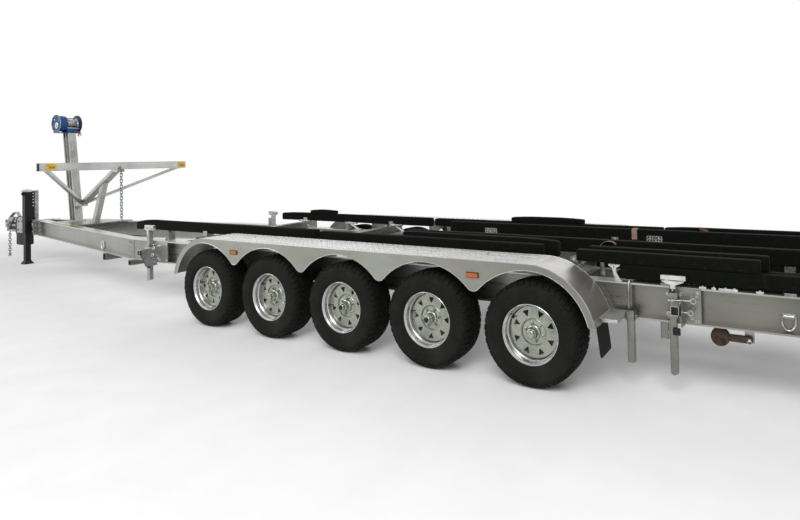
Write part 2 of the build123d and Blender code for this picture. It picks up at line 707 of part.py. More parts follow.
with BuildPart() as fender_brackets:
    # gusset plates from the beam to the fender between the wheels, and the rear steps
    bracket_xs = [x - half_pitch for x in axle_xs[:-1]]
    inner_top_z = fender_top_z - fender_sheet
    for side in (-1, 1):
        for x in bracket_xs:
            skirt_y = fender_outer_y - fender_sheet
            inner_y = beam_outer_y - 70
            with BuildSketch(Plane.YZ.offset(x - plate / 2)):
                Polygon((side * inner_y, frame_top_z), (side * inner_y, inner_top_z - 20),
                        (side * (beam_outer_y + fender_gap), inner_top_z), (side * skirt_y, inner_top_z),
                        (side * skirt_y, inner_top_z - 90), (side * beam_outer_y, frame_top_z), align=None)
            extrude(amount=plate)
        # step behind the fender: a level plate and the leg that joins it to the beam
        step_rear_x = drop_post_x + post_size / 2 + 10
        step_front_x = last_x - fender_radius - 10
        for reach, low_z in ((step_width, step_z - 8), (8, frame_bottom_z)):
            step_y = sorted((side * beam_outer_y, side * (beam_outer_y + reach)))
            block((step_rear_x, step_y[0], low_z), (step_front_x, step_y[1], step_z))

with BuildPart() as side_lamps:
    for side in (-1, 1):
        for x in (front_x - half_pitch, last_x + half_pitch):
            lamp_y = sorted((side * fender_outer_y, side * (fender_outer_y + side_lamp_depth)))
            block((x - side_lamp_length / 2, lamp_y[0], side_lamp_z - side_lamp_height / 2),
                  (x + side_lamp_length / 2, lamp_y[1], side_lamp_z + side_lamp_height / 2))

with BuildPart() as mudflaps:
    # flat sheets that hang from the rear edges of the fenders
    flap_edge_x = last_x - sqrt(fender_radius ** 2 - (fender_bottom_z - hub_z) ** 2) - seat_gap
    for side in (-1, 1):
        flap_y = sorted((side * flap_inner_y, side * flap_outer_y))
        ends = [(flap_edge_x + flap_slope * (z - fender_bottom_z), z) for z in (flap_top_z, flap_bottom_z)]
        with BuildSketch(Plane.XZ.offset(-flap_y[1])):
            Polygon(*ends, *[(x - flap_wall, z) for x, z in reversed(ends)], align=None)
        extrude(amount=flap_y[1] - flap_y[0])

# ---------------------------------------------------------------- guide posts and their clamps
post_y = beam_outer_y + plate + post_size / 2
# station, foot height, height of the pad's top, reach of the clamp plate behind the post
post_table = ((clamp_front_x, 275.0, 932.0, 300.0), (clamp_rear_x, 150.0, 830.0, 178.0))
half_post = post_size / 2

with BuildPart() as guide_posts:
    for side in (-1, 1):
        for x, low_z, high_z, behind in post_table:
            neck_z = high_z - pad_height - pad_neck_height
            bar((x, side * post_y, low_z), (x, side * post_y, neck_z), post_size, post_size, post_wall)
            # pad bar on a tapered neck
            with BuildSketch(Plane.XZ.offset(-side * post_y + pad_width / 2)) as head:
                Polygon(*[(x + turn * reach, z) for turn, order in ((1, 1), (-1, -1))
                          for reach, z in ((half_post, neck_z), (pad_length / 2, high_z - pad_height),
                                           (pad_length / 2, high_z))[::order]], align=None)
            extrude(head.sketch, amount=-pad_width)
        bar((drop_post_x, side * post_y, drop_post_bottom_z), (drop_post_x, side * post_y, drop_post_top_z),
            post_size, post_size, post_wall)

with BuildPart() as post_clamps:
    tight = half_post + seat_gap
    sleeve = half_post + 7
    for side in (-1, 1):
        face_y = side * beam_outer_y
        plate_y = side * (beam_outer_y + plate)
        for x, low_z, high_z, behind in post_table:
            plate_low_y, plate_high_y = sorted((face_y, plate_y))
            block((x - behind, plate_low_y, clamp_bottom_z), (x + sleeve, plate_high_y, clamp_top_z))
            # straps round the post
            for z in (clamp_bottom_z + 40, clamp_top_z - 60):
                strap_y = sorted((plate_y, side * (post_y + sleeve + 1)))
                block((x - sleeve, strap_y[0], z), (x + sleeve, strap_y[1], z + 36))
            block((x - tight, side * post_y - tight, clamp_bottom_z),
                  (x + tight, side * post_y + tight, clamp_top_z), Mode.SUBTRACT)
            # outrigger tube and the gusset under it
            stub_x = x - stub_offset
            stub_high = post_size + 8
            bar((stub_x, plate_y, stub_z), (stub_x, side * stub_end_y, stub_z), post_size, stub_high, post_wall)
            tip_y = side * (stub_end_y - 8)
            with BuildSketch(Plane.YZ.offset(stub_x - post_size / 2 - plate)):
                Polygon((plate_y, clamp_top_z - 60), (tip_y, stub_z + stub_high / 2),
                        (tip_y, stub_z - stub_high / 2), (side * gusset_foot_y, gusset_foot_z),
                        (plate_y, gusset_foot_z), align=None)
            extrude(amount=plate)
        # sleeve of the drop post
        sleeve_y = sorted((face_y, side * (post_y + sleeve)))
        block((drop_post_x - sleeve, sleeve_y[0], frame_bottom_z),
              (drop_post_x + sleeve, sleeve_y[1], drop_post_top_z - 8))
        block((drop_post_x - tight, side * post_y - tight, frame_bottom_z),
              (drop_post_x + tight, side * post_y + tight, drop_post_top_z), Mode.SUBTRACT)
        # hanger under the beam
        block((hanger_x - hanger_size / 2, side * beam_y - hanger_size / 2, hanger_bottom_z),
              (hanger_x + hanger_size / 2, side * beam_y + hanger_size / 2, frame_bottom_z))

# ---------------------------------------------------------------- bunks and the brackets under them
with BuildPart() as bunks_left:
    for side, ahead, behind, y, z, width, high in bunk_table:
        if side > 0:
            block((behind, y - width / 2, z), (ahead, y + width / 2, z + high))
    chamfer(bunks_left.edges().filter_by(Axis.X), bunk_edge)

with BuildPart() as bunks_right:
    for side, ahead, behind, y, z, width, high in bunk_table:
        if side < 0:
            block((behind, -y - width / 2, z), (ahead, -y + width / 2, z + high))
    chamfer(bunks_right.edges().filter_by(Axis.X), bunk_edge)

with BuildPart() as bunk_brackets:
    # each board that has clear space under it stands on the cross members it passes
    for side, ahead, behind, y, z, width, high in bunk_table:
        if z == bunk_base_z:
            supports = [(x, cross_top_z) for x in cross_xs]
            supports += [(x, low_cross_z + cross_height / 2) for x in low_cross_xs]
        elif z == low_bunk_z:
            supports = [(x, frame_top_z) for x in low_stand_xs]
        else:
            supports = []
        for x, foot_z in supports:
            if behind < x - 40 and x + 40 < ahead:
                block((x - 35, side * y - width / 2, foot_z), (x + 35, side * y + width / 2, z - seat_gap))
    # the front boards reach past the last cross member onto stands on the beams
    half_stand = bunk_stand_length / 2
    side_board_y = bunk_table[0][3]
    side_board_width = bunk_table[0][5]
    for side in (-1, 1):
        for x in beam_stand_xs:
            block((x - half_stand, side * side_board_y - side_board_width / 2, frame_top_z),
                  (x + half_stand, side * side_board_y + side_board_width / 2, bunk_base_z - seat_gap))
    # T bracket under the front end of the raised left boards
    head_y = sorted(bunk_table[n][3] for n in (3, 4))
    head_z = raised_bunk_z - plate
    block((raised_stand_x - 8, head_y[1] - 22, frame_top_z), (raised_stand_x + 8, head_y[1] + 22, head_z))
    block((raised_stand_x - 44, head_y[0] - 30, head_z),
          (raised_stand_x + 44, head_y[1] + 36, raised_bunk_z - seat_gap))

# ---------------------------------------------------------------- tie rings
with BuildPart() as tie_rings:
    front_web_y = tongue_y(tie_ring_front_x) + beam_web / 2 / tongue_run.X
    for side in (-1, 1):
        for base, run in ((Vector(tie_ring_rear_x, side * web_outer_y, tie_ring_z), Vector(1, 0, 0)),
                          (Vector(tie_ring_front_x, side * front_web_y, tie_ring_z),
                           Vector(tongue_run.X, side * tongue_run.Y, 0))):
            outward = Vector(-run.Y, run.X, 0) * side
            # bracket on the web, then the ring that hangs from it
            with BuildSketch(Plane(origin=base, x_dir=run * -side, z_dir=outward)):
                Rectangle(74, 32)
            extrude(amount=20)
            with BuildSketch(Plane(origin=base + outward * 4, x_dir=run * -side, z_dir=outward)) as ring:
                with Locations((0, 16 - ring_length / 2)):
                    Rectangle(ring_width, ring_length)
                    chamfer(ring.vertices(), ring_width * 0.28)
                    with BuildSketch(mode=Mode.SUBTRACT) as opening:
                        Rectangle(ring_width - 2 * ring_wire, ring_length - 2 * ring_wire)
                        chamfer(opening.vertices(), ring_width * 0.2)
            extrude(ring.sketch, amount=ring_wire)

# ---------------------------------------------------------------- tail lamps
with BuildPart() as tail_lamps:
    for side in (-1, 1):
        lamp_y = sorted((side * (beam_inner_y - 130), side * (beam_outer_y - 20)))
        block((rear_end_x, lamp_y[0], beam_mid_z - 55), (beam_rear_x, lamp_y[1], beam_mid_z + 55))

# ---------------------------------------------------------------- rear stabilisers
with BuildPart() as stabiliser_ears:
    for side in (-1, 1):
        ear_y = side * (beam_y - stab_arm_width / 2 - seat_gap - stab_ear / 2)
        block((stab_pivot_x - 30, ear_y - stab_ear / 2, stab_z - 26),
              (stab_pivot_x + 30, ear_y + stab_ear / 2, frame_bottom_z))
        pin_y = sorted((ear_y, side * (beam_y + stab_arm_width / 2 + 4)))
        with BuildSketch(Plane.XZ.offset(-pin_y[1])):
            with Locations((stab_pivot_x, stab_z)):
                Circle(stab_pin_radius)
        extrude(amount=pin_y[1] - pin_y[0])

with BuildPart() as stabiliser_left:
    # arm with a rounded end and the round foot drum
    with BuildSketch(Plane.XZ.offset(-beam_y)):
        with Locations((stab_pivot_x, stab_z)):
            RegularPolygon(stab_arm_height / 2, 8, major_radius=False, rotation=22.5)
        with Locations((stab_pivot_x + stab_reach / 2, stab_z)):
            Rectangle(stab_reach, stab_arm_height)
    extrude(amount=stab_arm_width / 2, both=True)
    flat_disc(stab_foot_radius, 16, beam_y - stab_foot_width / 2, beam_y + stab_foot_width / 2,
              stab_pivot_x + stab_reach, stab_z)
    with BuildSketch(Plane.XZ.offset(-beam_y)):
        with Locations((stab_pivot_x, stab_z)):
            Circle(stab_pin_radius + running_gap)
    extrude(amount=stab_arm_width, both=True, mode=Mode.SUBTRACT)
stabiliser_right = mirrored(stabiliser_left)

# ---------------------------------------------------------------- write the pieces
pieces = {
    "main_beam_left": main_beam_left,
    "main_beam_right": main_beam_right,
    "tongue_beam_left": tongue_beam_left,
    "tongue_beam_right": tongue_beam_right,
    "cross_members": cross_members,
    "drawbar": drawbar,
    "coupler": coupler,
    "battery_box": battery_box,
    "safety_chain": safety_chain,
    "jack_bracket": jack_bracket,
    "jack_tube": jack_tube,
    "jack_leg": jack_leg,
    "winch_post": winch_post,
    "bow_frame": bow_frame,
    "bow_chain": bow_chain,
    "bar_markers": bar_markers,
    "winch_frame": winch_frame,
    "winch_drum": winch_drum,
    "hook_strap": hook_strap,
    "axle_tubes": axle_tubes,
    "swing_arms": swing_arms,
    "fender_left": fender_left,
    "fender_right": fender_right,
    "fender_brackets": fender_brackets,
    "side_lamps": side_lamps,
    "mudflaps": mudflaps,
    "guide_posts": guide_posts,
    "post_clamps": post_clamps,
    "bunks_left": bunks_left,
    "bunks_right": bunks_right,
    "bunk_brackets": bunk_brackets,
    "tie_rings": tie_rings,
    "tail_lamps": tail_lamps,
    "stabiliser_ears": stabiliser_ears,
    "stabiliser_left": stabiliser_left,
    "stabiliser_right": stabiliser_right,
}

for side, turn in (("left", 0), ("right", 180)):
    for number, x in enumerate(axle_xs, start=1):
        y = rim_face_y if side == "left" else -rim_face_y
        for kind, source in (("tyre", tyre), ("wheel", wheel)):
            with BuildPart() as placed:
                with Locations((x, y, hub_z)):
                    add(source.part, rotation=(0, 0, turn))
            pieces[f"{kind}_{side}_{number}"] = placed

for name, piece in pieces.items():
    piece.part.label = name
    export_step(piece.part, f"parts/{name}.step")
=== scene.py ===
import json
import math
import bmesh
import bpy
from mathutils import Matrix, Vector, noise


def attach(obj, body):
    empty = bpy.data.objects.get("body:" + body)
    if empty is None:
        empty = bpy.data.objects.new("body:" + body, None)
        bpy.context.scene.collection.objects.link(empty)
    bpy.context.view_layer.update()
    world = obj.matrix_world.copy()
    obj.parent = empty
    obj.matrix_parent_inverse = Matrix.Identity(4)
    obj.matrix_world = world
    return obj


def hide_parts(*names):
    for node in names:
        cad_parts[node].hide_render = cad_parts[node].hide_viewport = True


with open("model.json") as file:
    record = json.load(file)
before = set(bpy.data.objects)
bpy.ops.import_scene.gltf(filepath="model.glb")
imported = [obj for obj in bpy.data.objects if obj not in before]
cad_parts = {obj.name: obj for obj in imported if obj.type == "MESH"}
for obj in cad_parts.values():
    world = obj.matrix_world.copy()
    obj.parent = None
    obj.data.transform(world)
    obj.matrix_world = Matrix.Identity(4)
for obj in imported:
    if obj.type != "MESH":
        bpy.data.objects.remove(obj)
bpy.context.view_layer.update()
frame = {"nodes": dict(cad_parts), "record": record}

nodes = frame["nodes"]
rootBody = "trailer_frame"


def newMaterial(name):
    mat = bpy.data.materials.new(name)
    mat.use_nodes = True
    return mat, mat.node_tree, mat.node_tree.nodes["Principled BSDF"]


def feed(tree, node, inputs):
    # each input takes a value or another node's output
    for key, value in inputs.items():
        if isinstance(value, bpy.types.NodeSocket):
            tree.links.new(value, node.inputs[key])
        else:
            node.inputs[key].default_value = value
    return node


def addNode(tree, kind, inputs=None, **settings):
    node = tree.nodes.new("ShaderNode" + kind)
    for name, value in settings.items():
        setattr(node, name, value)
    return feed(tree, node, inputs or {})


def noiseOf(tree, scale, detail=4.0, stretch=(1, 1, 1)):
    # noise in the object's own space, long along an axis with a small factor there
    coord = addNode(tree, "TexCoord")
    mapping = addNode(tree, "Mapping", {"Vector": coord.outputs["Object"], "Scale": stretch})
    return addNode(tree, "TexNoise", {"Vector": mapping.outputs["Vector"], "Scale": scale,
                                      "Detail": detail, "Roughness": 0.55}).outputs["Fac"]


def opaque(tone):
    # a grey from one number, or a colour, as four channels
    return (tone, tone, tone, 1) if isinstance(tone, (int, float)) else (*tone, 1)


def rampOf(tree, factor, start, end, first, second):
    ramp = addNode(tree, "ValToRGB", {"Fac": factor})
    for element, place, tone in zip(ramp.color_ramp.elements, (start, end), (first, second)):
        element.position = place
        element.color = opaque(tone)
    return ramp.outputs["Color"]


def mixOf(tree, factor, first, second, mode="MIX"):
    # sockets 0, 6 and 7 are the factor and the two colours
    first, second = (tone if isinstance(tone, bpy.types.NodeSocket) else opaque(tone)
                     for tone in (first, second))
    mix = addNode(tree, "Mix", {0: factor, 6: first, 7: second}, data_type="RGBA", blend_type=mode)
    return mix.outputs[2]


def mathOf(tree, operation, first, second):
    return addNode(tree, "Math", {0: first, 1: second}, operation=operation).outputs[0]


def placeAlong(tree, axis):
    # where a point lies along one of the object's own axes, in metres
    coord = addNode(tree, "TexCoord")
    return addNode(tree, "SeparateXYZ", {"Vector": coord.outputs["Object"]}).outputs[axis]


def bumpOf(tree, height, strength, distance):
    return addNode(tree, "Bump",
                   {"Height": height, "Strength": strength, "Distance": distance}).outputs["Normal"]


def metalMaterial(name, look):
    # mill or zinc finish: blotches, fine streaks, a second tint and stains over one base tone, and where a
    # look gives them, painted highlight bands and painted light and shade along its length
    mat, tree, shader = newMaterial(name)
    streak = noiseOf(tree, look["streakScale"], 6, look["streakStretch"])
    colour = rampOf(tree, noiseOf(tree, look["blotchScale"], 5), 0.34, 0.66, look["dark"], look["light"])
    tintMask = rampOf(tree, noiseOf(tree, look["tintScale"], 3), 0.42, 0.68, 0, look["tintShare"])
    colour = mixOf(tree, tintMask, colour, look["tint"])
    colour = mixOf(tree, 1.0, colour, rampOf(tree, streak, 0.35, 0.65, look["streakDark"], 1), "MULTIPLY")
    stainMask = rampOf(tree, noiseOf(tree, look["stainScale"], 5), look["stainFrom"], look["stainFrom"] + 0.1,
                       0, look["stainShare"])
    colour = mixOf(tree, stainMask, colour, look["stainColour"])
    for low, high, tint in look.get("edgeHighlightBands", ()):
        # painted highlight: bands of height where flange edges or a top face catch the light take a lighter
        # colour
        height = placeAlong(tree, "Z")
        above, below = mathOf(tree, "GREATER_THAN", height, low), mathOf(tree, "LESS_THAN", height, high)
        colour = mixOf(tree, mathOf(tree, "MULTIPLY", above, below), colour, tint)
    for start, end, share, tint in look.get("lengthShading", ()):
        # painted light and shade: the metal's tone turns lighter or darker towards one end, as the light
        # falls along the trailer
        reach = addNode(tree, "MapRange", {"Value": placeAlong(tree, "X"), "From Min": start, "From Max": end,
                                           "To Max": share})
        colour = mixOf(tree, reach.outputs["Result"], colour, tint)
    feed(tree, shader, {
        "Base Color": colour, "Metallic": look["metallic"],
        "Roughness": rampOf(tree, streak, 0.3, 0.7, look["roughLow"], look["roughHigh"]),
        "Normal": bumpOf(tree, streak, look["bump"], 0.0006),
    })
    return mat


def coatMaterial(name, dark, light, scale, roughness, bump, coat=0.0, sheen=0.0, detail=6.0, gloss=0.3,
                 dust=None, dustFrom=0.6):
    # paint, plastic, rubber or cloth: two tones from noise, dust in patches and a fine bump
    mat, tree, shader = newMaterial(name)
    grain = noiseOf(tree, scale, detail)
    broad = noiseOf(tree, max(scale * 0.06, 1.5))
    colour = rampOf(tree, grain, 0.3, 0.7, dark, light)
    colour = mixOf(tree, 1.0, colour, rampOf(tree, broad, 0.3, 0.7, 0.7, 1), "MULTIPLY")
    if dust:
        colour = mixOf(tree, rampOf(tree, broad, dustFrom, dustFrom + 0.2, 0, 0.6), colour, dust)
    feed(tree, shader, {
        "Base Color": colour, "Roughness": roughness, "Specular IOR Level": gloss, "Coat Weight": coat,
        "Sheen Weight": sheen, "Normal": bumpOf(tree, grain, bump, 0.0012),
    })
    return mat


aluminiumLook = {
    "dark": (0.185, 0.18, 0.155), "light": (0.33, 0.33, 0.305), "blotchScale": 1.6, "streakScale": 60.0,
    "streakStretch": (0.02, 1.0, 1.0), "streakDark": 0.78, "tint": (0.42, 0.44, 0.42), "tintShare": 0.55,
    "tintScale": 0.7, "stainScale": 4.1, "stainFrom": 0.6, "stainShare": 0.45,
    "stainColour": (0.15, 0.13, 0.11), "metallic": 0.85, "roughLow": 0.24, "roughHigh": 0.42, "bump": 0.12,
}
beamLook = dict(
    aluminiumLook, streakDark=0.88,
    # painted highlight: lighter bands at the heights of the top and bottom flanges
    edgeHighlightBands=((0.7335, 0.7455, (0.66, 0.67, 0.64)), (0.4905, 0.5035, (0.52, 0.51, 0.49))),
    # painted light: lighter towards the front; painted shade: darker and browner towards the rear
    lengthShading=((-3.4, -5.6, 0.6, (0.13, 0.12, 0.095)), (-0.6, 2.2, 0.3, (0.5, 0.51, 0.49))))
postLook = dict(
    aluminiumLook, dark=(0.27, 0.27, 0.25), light=(0.46, 0.46, 0.44), blotchScale=3.0,
    streakStretch=(1.0, 1.0, 0.03))
barLook = dict(
    aluminiumLook, dark=(0.48, 0.48, 0.46), light=(0.66, 0.66, 0.64), blotchScale=3.0,
    streakStretch=(1.0, 0.03, 1.0), stainShare=0.2)
fenderLook = dict(
    aluminiumLook, dark=(0.27, 0.292, 0.25), light=(0.385, 0.405, 0.355), blotchScale=1.1, streakDark=0.9,
    streakStretch=(0.3, 0.3, 1.0), streakScale=14.0, tint=(0.3, 0.27, 0.25), tintShare=0.5, tintScale=0.9,
    stainFrom=0.62, stainShare=0.25, stainColour=(0.25, 0.2, 0.19), metallic=0.5, roughLow=0.26,
    roughHigh=0.4,
    # painted light: a light band at the top's height brightens the fender's top face
    bump=0.03, edgeHighlightBands=((0.8975, 0.9025, (0.74, 0.75, 0.73)),),
    # painted shade: darker towards the rear
    lengthShading=((-2.0, -4.0, 0.72, (0.175, 0.157, 0.146)),))
zincLook = dict(
    aluminiumLook, dark=(0.22, 0.225, 0.21), light=(0.44, 0.45, 0.43), blotchScale=14.0, streakScale=90.0,
    streakStretch=(1, 1, 1), streakDark=0.8, tint=(0.52, 0.53, 0.52), tintShare=0.4, tintScale=3.0,
    stainScale=9.0, stainShare=0.4, stainColour=(0.16, 0.145, 0.12), roughLow=0.22, roughHigh=0.4, bump=0.15)
greenZincLook = dict(
    zincLook, dark=(0.185, 0.19, 0.165), light=(0.25, 0.255, 0.225), blotchScale=7.0, tint=(0.3, 0.3, 0.27),
    # painted light: lighter towards the front
    stainShare=0.08, streakDark=0.96, lengthShading=((-3.0, 0.5, 0.7, (0.44, 0.45, 0.44)),))
# painted reflection: the rim's light and dark blotches and their olive tint stand in for reflections of the
# surroundings
rimLook = dict(
    zincLook, dark=(0.26, 0.29, 0.23), light=(0.54, 0.57, 0.51), blotchScale=4.5, tint=(0.3, 0.3, 0.24),
    tintShare=0.5, tintScale=5.0, stainFrom=0.62, stainShare=0.3, roughLow=0.1, roughHigh=0.24, bump=0.05)
# painted highlight: a much lighter, mauve-tinted copy of the rim steel for rolled lips and edges that catch
# the light
lipHighlightLook = dict(
    rimLook, dark=(0.46, 0.46, 0.45), light=(0.74, 0.74, 0.74), tint=(0.42, 0.4, 0.46), tintShare=0.4)
paleZincLook = dict(
    zincLook, dark=(0.56, 0.57, 0.55), light=(0.8, 0.81, 0.8), stainShare=0.2, roughLow=0.2, roughHigh=0.34)
boltLook = dict(
    paleZincLook, dark=(0.34, 0.345, 0.33), light=(0.54, 0.55, 0.53),
    # painted light: lighter towards the front
    lengthShading=((-2.0, 0.5, 0.7, (0.78, 0.79, 0.78)),))
greyLook = dict(zincLook, dark=(0.12, 0.125, 0.115), light=(0.3, 0.31, 0.29))
tealLook = dict(zincLook, dark=(0.05, 0.17, 0.15), light=(0.13, 0.3, 0.26))

aluminium = metalMaterial("brushedAluminium", aluminiumLook)
beamMetal = metalMaterial("beamAluminium", beamLook)
postMetal = metalMaterial("postAluminium", postLook)
barMetal = metalMaterial("barAluminium", barLook)
fenderSheet = metalMaterial("fenderSheet", fenderLook)
zinc = metalMaterial("galvanisedSteel", zincLook)
greenZinc = metalMaterial("dullGalvanised", greenZincLook)
rimSteel = metalMaterial("rimSteel", rimLook)
lipHighlightSteel = metalMaterial("rimLipHighlight", lipHighlightLook)
paleZinc = metalMaterial("brightZinc", paleZincLook)
boltZinc = metalMaterial("boltZinc", boltLook)
greyZinc = metalMaterial("greyZinc", greyLook)
tealZinc = metalMaterial("tealTintedZinc", tealLook)

# each coat: name, dark tone, light tone, grain, roughness, bump
blackPaint = coatMaterial("blackEnamel", (0.006, 0.007, 0.006), (0.016, 0.017, 0.015), 40, 0.4, 0.1,
                          gloss=0.2)
bluePaint = coatMaterial("winchBlue", (0.005, 0.045, 0.14), (0.014, 0.09, 0.27), 30, 0.42, 0.1,
                         coat=0.1, gloss=0.25)
# painted shade: a darker copy of the winch blue for the far side plate and foot
shadedBluePaint = coatMaterial("winchBlueShaded", (0.002, 0.018, 0.06), (0.006, 0.04, 0.12), 30, 0.42, 0.1,
                             coat=0.05, gloss=0.2)
tyreRubber = coatMaterial("tyreRubber", (0.0045, 0.005, 0.0035), (0.01, 0.0105, 0.008), 55, 0.75, 0.3,
                          gloss=0.16, dust=(0.022, 0.022, 0.017), dustFrom=0.52)
treadRubber = coatMaterial("treadRubber", (0.0045, 0.005, 0.0035), (0.011, 0.011, 0.009), 75, 0.8, 0.4,
                           gloss=0.16, dust=(0.03, 0.028, 0.022), dustFrom=0.55)
sheetRubber = coatMaterial("flapRubber", (0.005, 0.006, 0.005), (0.01, 0.011, 0.009), 60, 0.65, 0.2,
                           gloss=0.16)
carpet = coatMaterial("bunkCarpet", (0.0025, 0.0035, 0.0028), (0.009, 0.01, 0.008), 420, 0.95, 0.9,
                      sheen=0.03, detail=8, gloss=0.06, dust=(0.016, 0.015, 0.012), dustFrom=0.6)
fadedWebbing = coatMaterial("fadedWebbing", (0.16, 0.05, 0.045), (0.3, 0.11, 0.095), 300, 0.85, 0.4)
redWebbing = coatMaterial("redWebbing", (0.3, 0.015, 0.015), (0.55, 0.04, 0.03), 300, 0.8, 0.4)
tanWebbing = coatMaterial("tanWebbing", (0.24, 0.15, 0.12), (0.42, 0.29, 0.24), 350, 0.85, 0.4)
blackPlastic = coatMaterial("blackPlastic", (0.006, 0.006, 0.006), (0.014, 0.015, 0.014), 90, 0.5, 0.15)
yellowPlastic = coatMaterial("markerYellow", (0.62, 0.42, 0.03), (0.8, 0.6, 0.05), 25, 0.35, 0.05, coat=0.3)
# painted reflection: green colour for the strip that stands in for a reflection on the tongue beam
greenReflectionPaint = coatMaterial("paintedGreenReflection", (0.3, 0.42, 0.1), (0.44, 0.56, 0.18), 90, 0.35, 0.1, coat=0.3)
amberLens = coatMaterial("amberLens", (0.42, 0.085, 0.003), (0.62, 0.15, 0.007), 60, 0.22, 0.2, coat=0.5)
redLens = coatMaterial("redLens", (0.32, 0.01, 0.008), (0.5, 0.02, 0.015), 60, 0.22, 0.2, coat=0.5)
rustyIron = coatMaterial("rustyIron", (0.02, 0.013, 0.009), (0.08, 0.05, 0.033), 38, 0.85, 0.7,
                         dust=(0.12, 0.085, 0.062), dustFrom=0.52)

# the first finish of a slot is its plain one, the others belong to it as well
slotFinishes = {
    "aluminium_frame": (aluminium, barMetal, lipHighlightSteel),
    "galvanised_steel": (zinc, greenZinc, paleZinc, boltZinc, greyZinc, tealZinc, postMetal),
    "black_paint": (blackPaint,), "blue_paint": (bluePaint, shadedBluePaint), "tyre_rubber": (tyreRubber,),
    "black_rubber": (sheetRubber,), "black_carpet": (carpet,), "black_plastic": (blackPlastic,),
    "red_webbing": (redWebbing, fadedWebbing, tanWebbing), "yellow_plastic": (yellowPlastic, greenReflectionPaint),
    "amber_plastic": (amberLens,), "red_plastic": (redLens,), "rusty_iron": (rustyIron,),
}
nodeFinishes = {
    fenderSheet: ("fender_left", "fender_right"), postMetal: ("winch_post",), barMetal: ("bow_frame",),
    beamMetal: ("main_beam_left", "main_beam_right", "tongue_beam_left", "tongue_beam_right"),
    greenZinc: ("guide_posts", "post_clamps", "swing_arms", "axle_tubes"),
}
finishOf = {node: finish for finish, names in nodeFinishes.items() for node in names}
for part in frame["record"]["subparts"]:
    shape = nodes[part["node"]].data
    shape.materials.clear()
    shape.materials.append(finishOf.get(part["node"], slotFinishes[part["material_slot"]][0]))
print("finishes done")


cameraSet = {
    "place": (-5.4947, 4.8821, 1.6671), "yaw": 27.638, "pitch": -0.839, "roll": -1.044, "clip": 200,
    "focalPixels": 557.23, "centrePixel": (497.48, 149.26), "imageSize": (800, 520), "sensor": 36.0,
}


def addCamera(look):
    yaw, pitch, roll = (math.radians(look[key]) for key in ("yaw", "pitch", "roll"))
    forward = Vector((math.sin(yaw) * math.cos(pitch), -math.cos(yaw) * math.cos(pitch), -math.sin(pitch)))
    level = forward.cross(Vector((0, 0, 1))).normalized()
    rise = level.cross(forward)
    right = math.cos(roll) * level + math.sin(roll) * rise
    up = math.cos(roll) * rise - math.sin(roll) * level
    data = bpy.data.cameras.new("viewCamera")
    data.sensor_width = look["sensor"]
    wide, high = look["imageSize"]
    data.lens = look["focalPixels"] / wide * look["sensor"]
    data.shift_x = (wide / 2 - look["centrePixel"][0]) / wide
    data.shift_y = (look["centrePixel"][1] - high / 2) / wide
    data.clip_end = look["clip"]
    camera = bpy.data.objects.new("viewCamera", data)
    bpy.context.scene.collection.objects.link(camera)
    turn = Matrix((right, up, -forward)).transposed().to_4x4()
    camera.matrix_world = Matrix.Translation(look["place"]) @ turn
    bpy.context.scene.camera = camera


lightSet = (  # name, place, aim, size, watts
    ("softKey", (-6.0, 9.0, 9.0), (-1.5, 0.5, 0.5), 7.0, 820),
    ("softFill", (8.0, 8.0, 6.0), (2.0, 0.0, 0.6), 6.0, 260),
    ("softBack", (-2.0, -9.0, 8.0), (-1.0, 0.0, 0.6), 7.0, 330),
)


def addLights():
    for name, place, aim, size, watts in lightSet:
        data = bpy.data.lights.new(name, "AREA")
        data.size = size
        data.energy = watts
        lamp = bpy.data.objects.new(name, data)
        look = (Vector(aim) - Vector(place)).to_track_quat("-Z", "Y").to_matrix().to_4x4()
        lamp.matrix_world = Matrix.Translation(place) @ look
        bpy.context.scene.collection.objects.link(lamp)


def shownRays(tree):
    # 1 for rays that see the backdrop directly, in gloss or through glass
    rays = addNode(tree, "LightPath")
    total = rays.outputs["Is Camera Ray"]
    for name in ("Is Glossy Ray", "Is Transmission Ray"):
        total = mathOf(tree, "MAXIMUM", total, rays.outputs[name])
    return total


worldSet = {"shown": 1.0, "lighting": 0.5}


def addWorld(look):
    world = bpy.data.worlds.new("studioWorld")
    bpy.context.scene.world = world
    world.use_nodes = True
    tree = world.node_tree
    strength = addNode(tree, "MapRange",
                       {"Value": shownRays(tree), "To Min": look["lighting"], "To Max": look["shown"]})
    feed(tree, tree.nodes["Background"], {"Color": (1, 1, 1, 1), "Strength": strength.outputs["Result"]})


floorSet = {
    "half": 60.0, "fadeFrom": 0.82, "fadeTo": 1.5, "middle": (-0.5, 0.0, 0.0), "reach": (9.5, 5.0, 1.0),
    "grain": 3.0, "dark": 0.9, "light": 0.94, "roughness": 0.9, "gloss": 0.1,
}


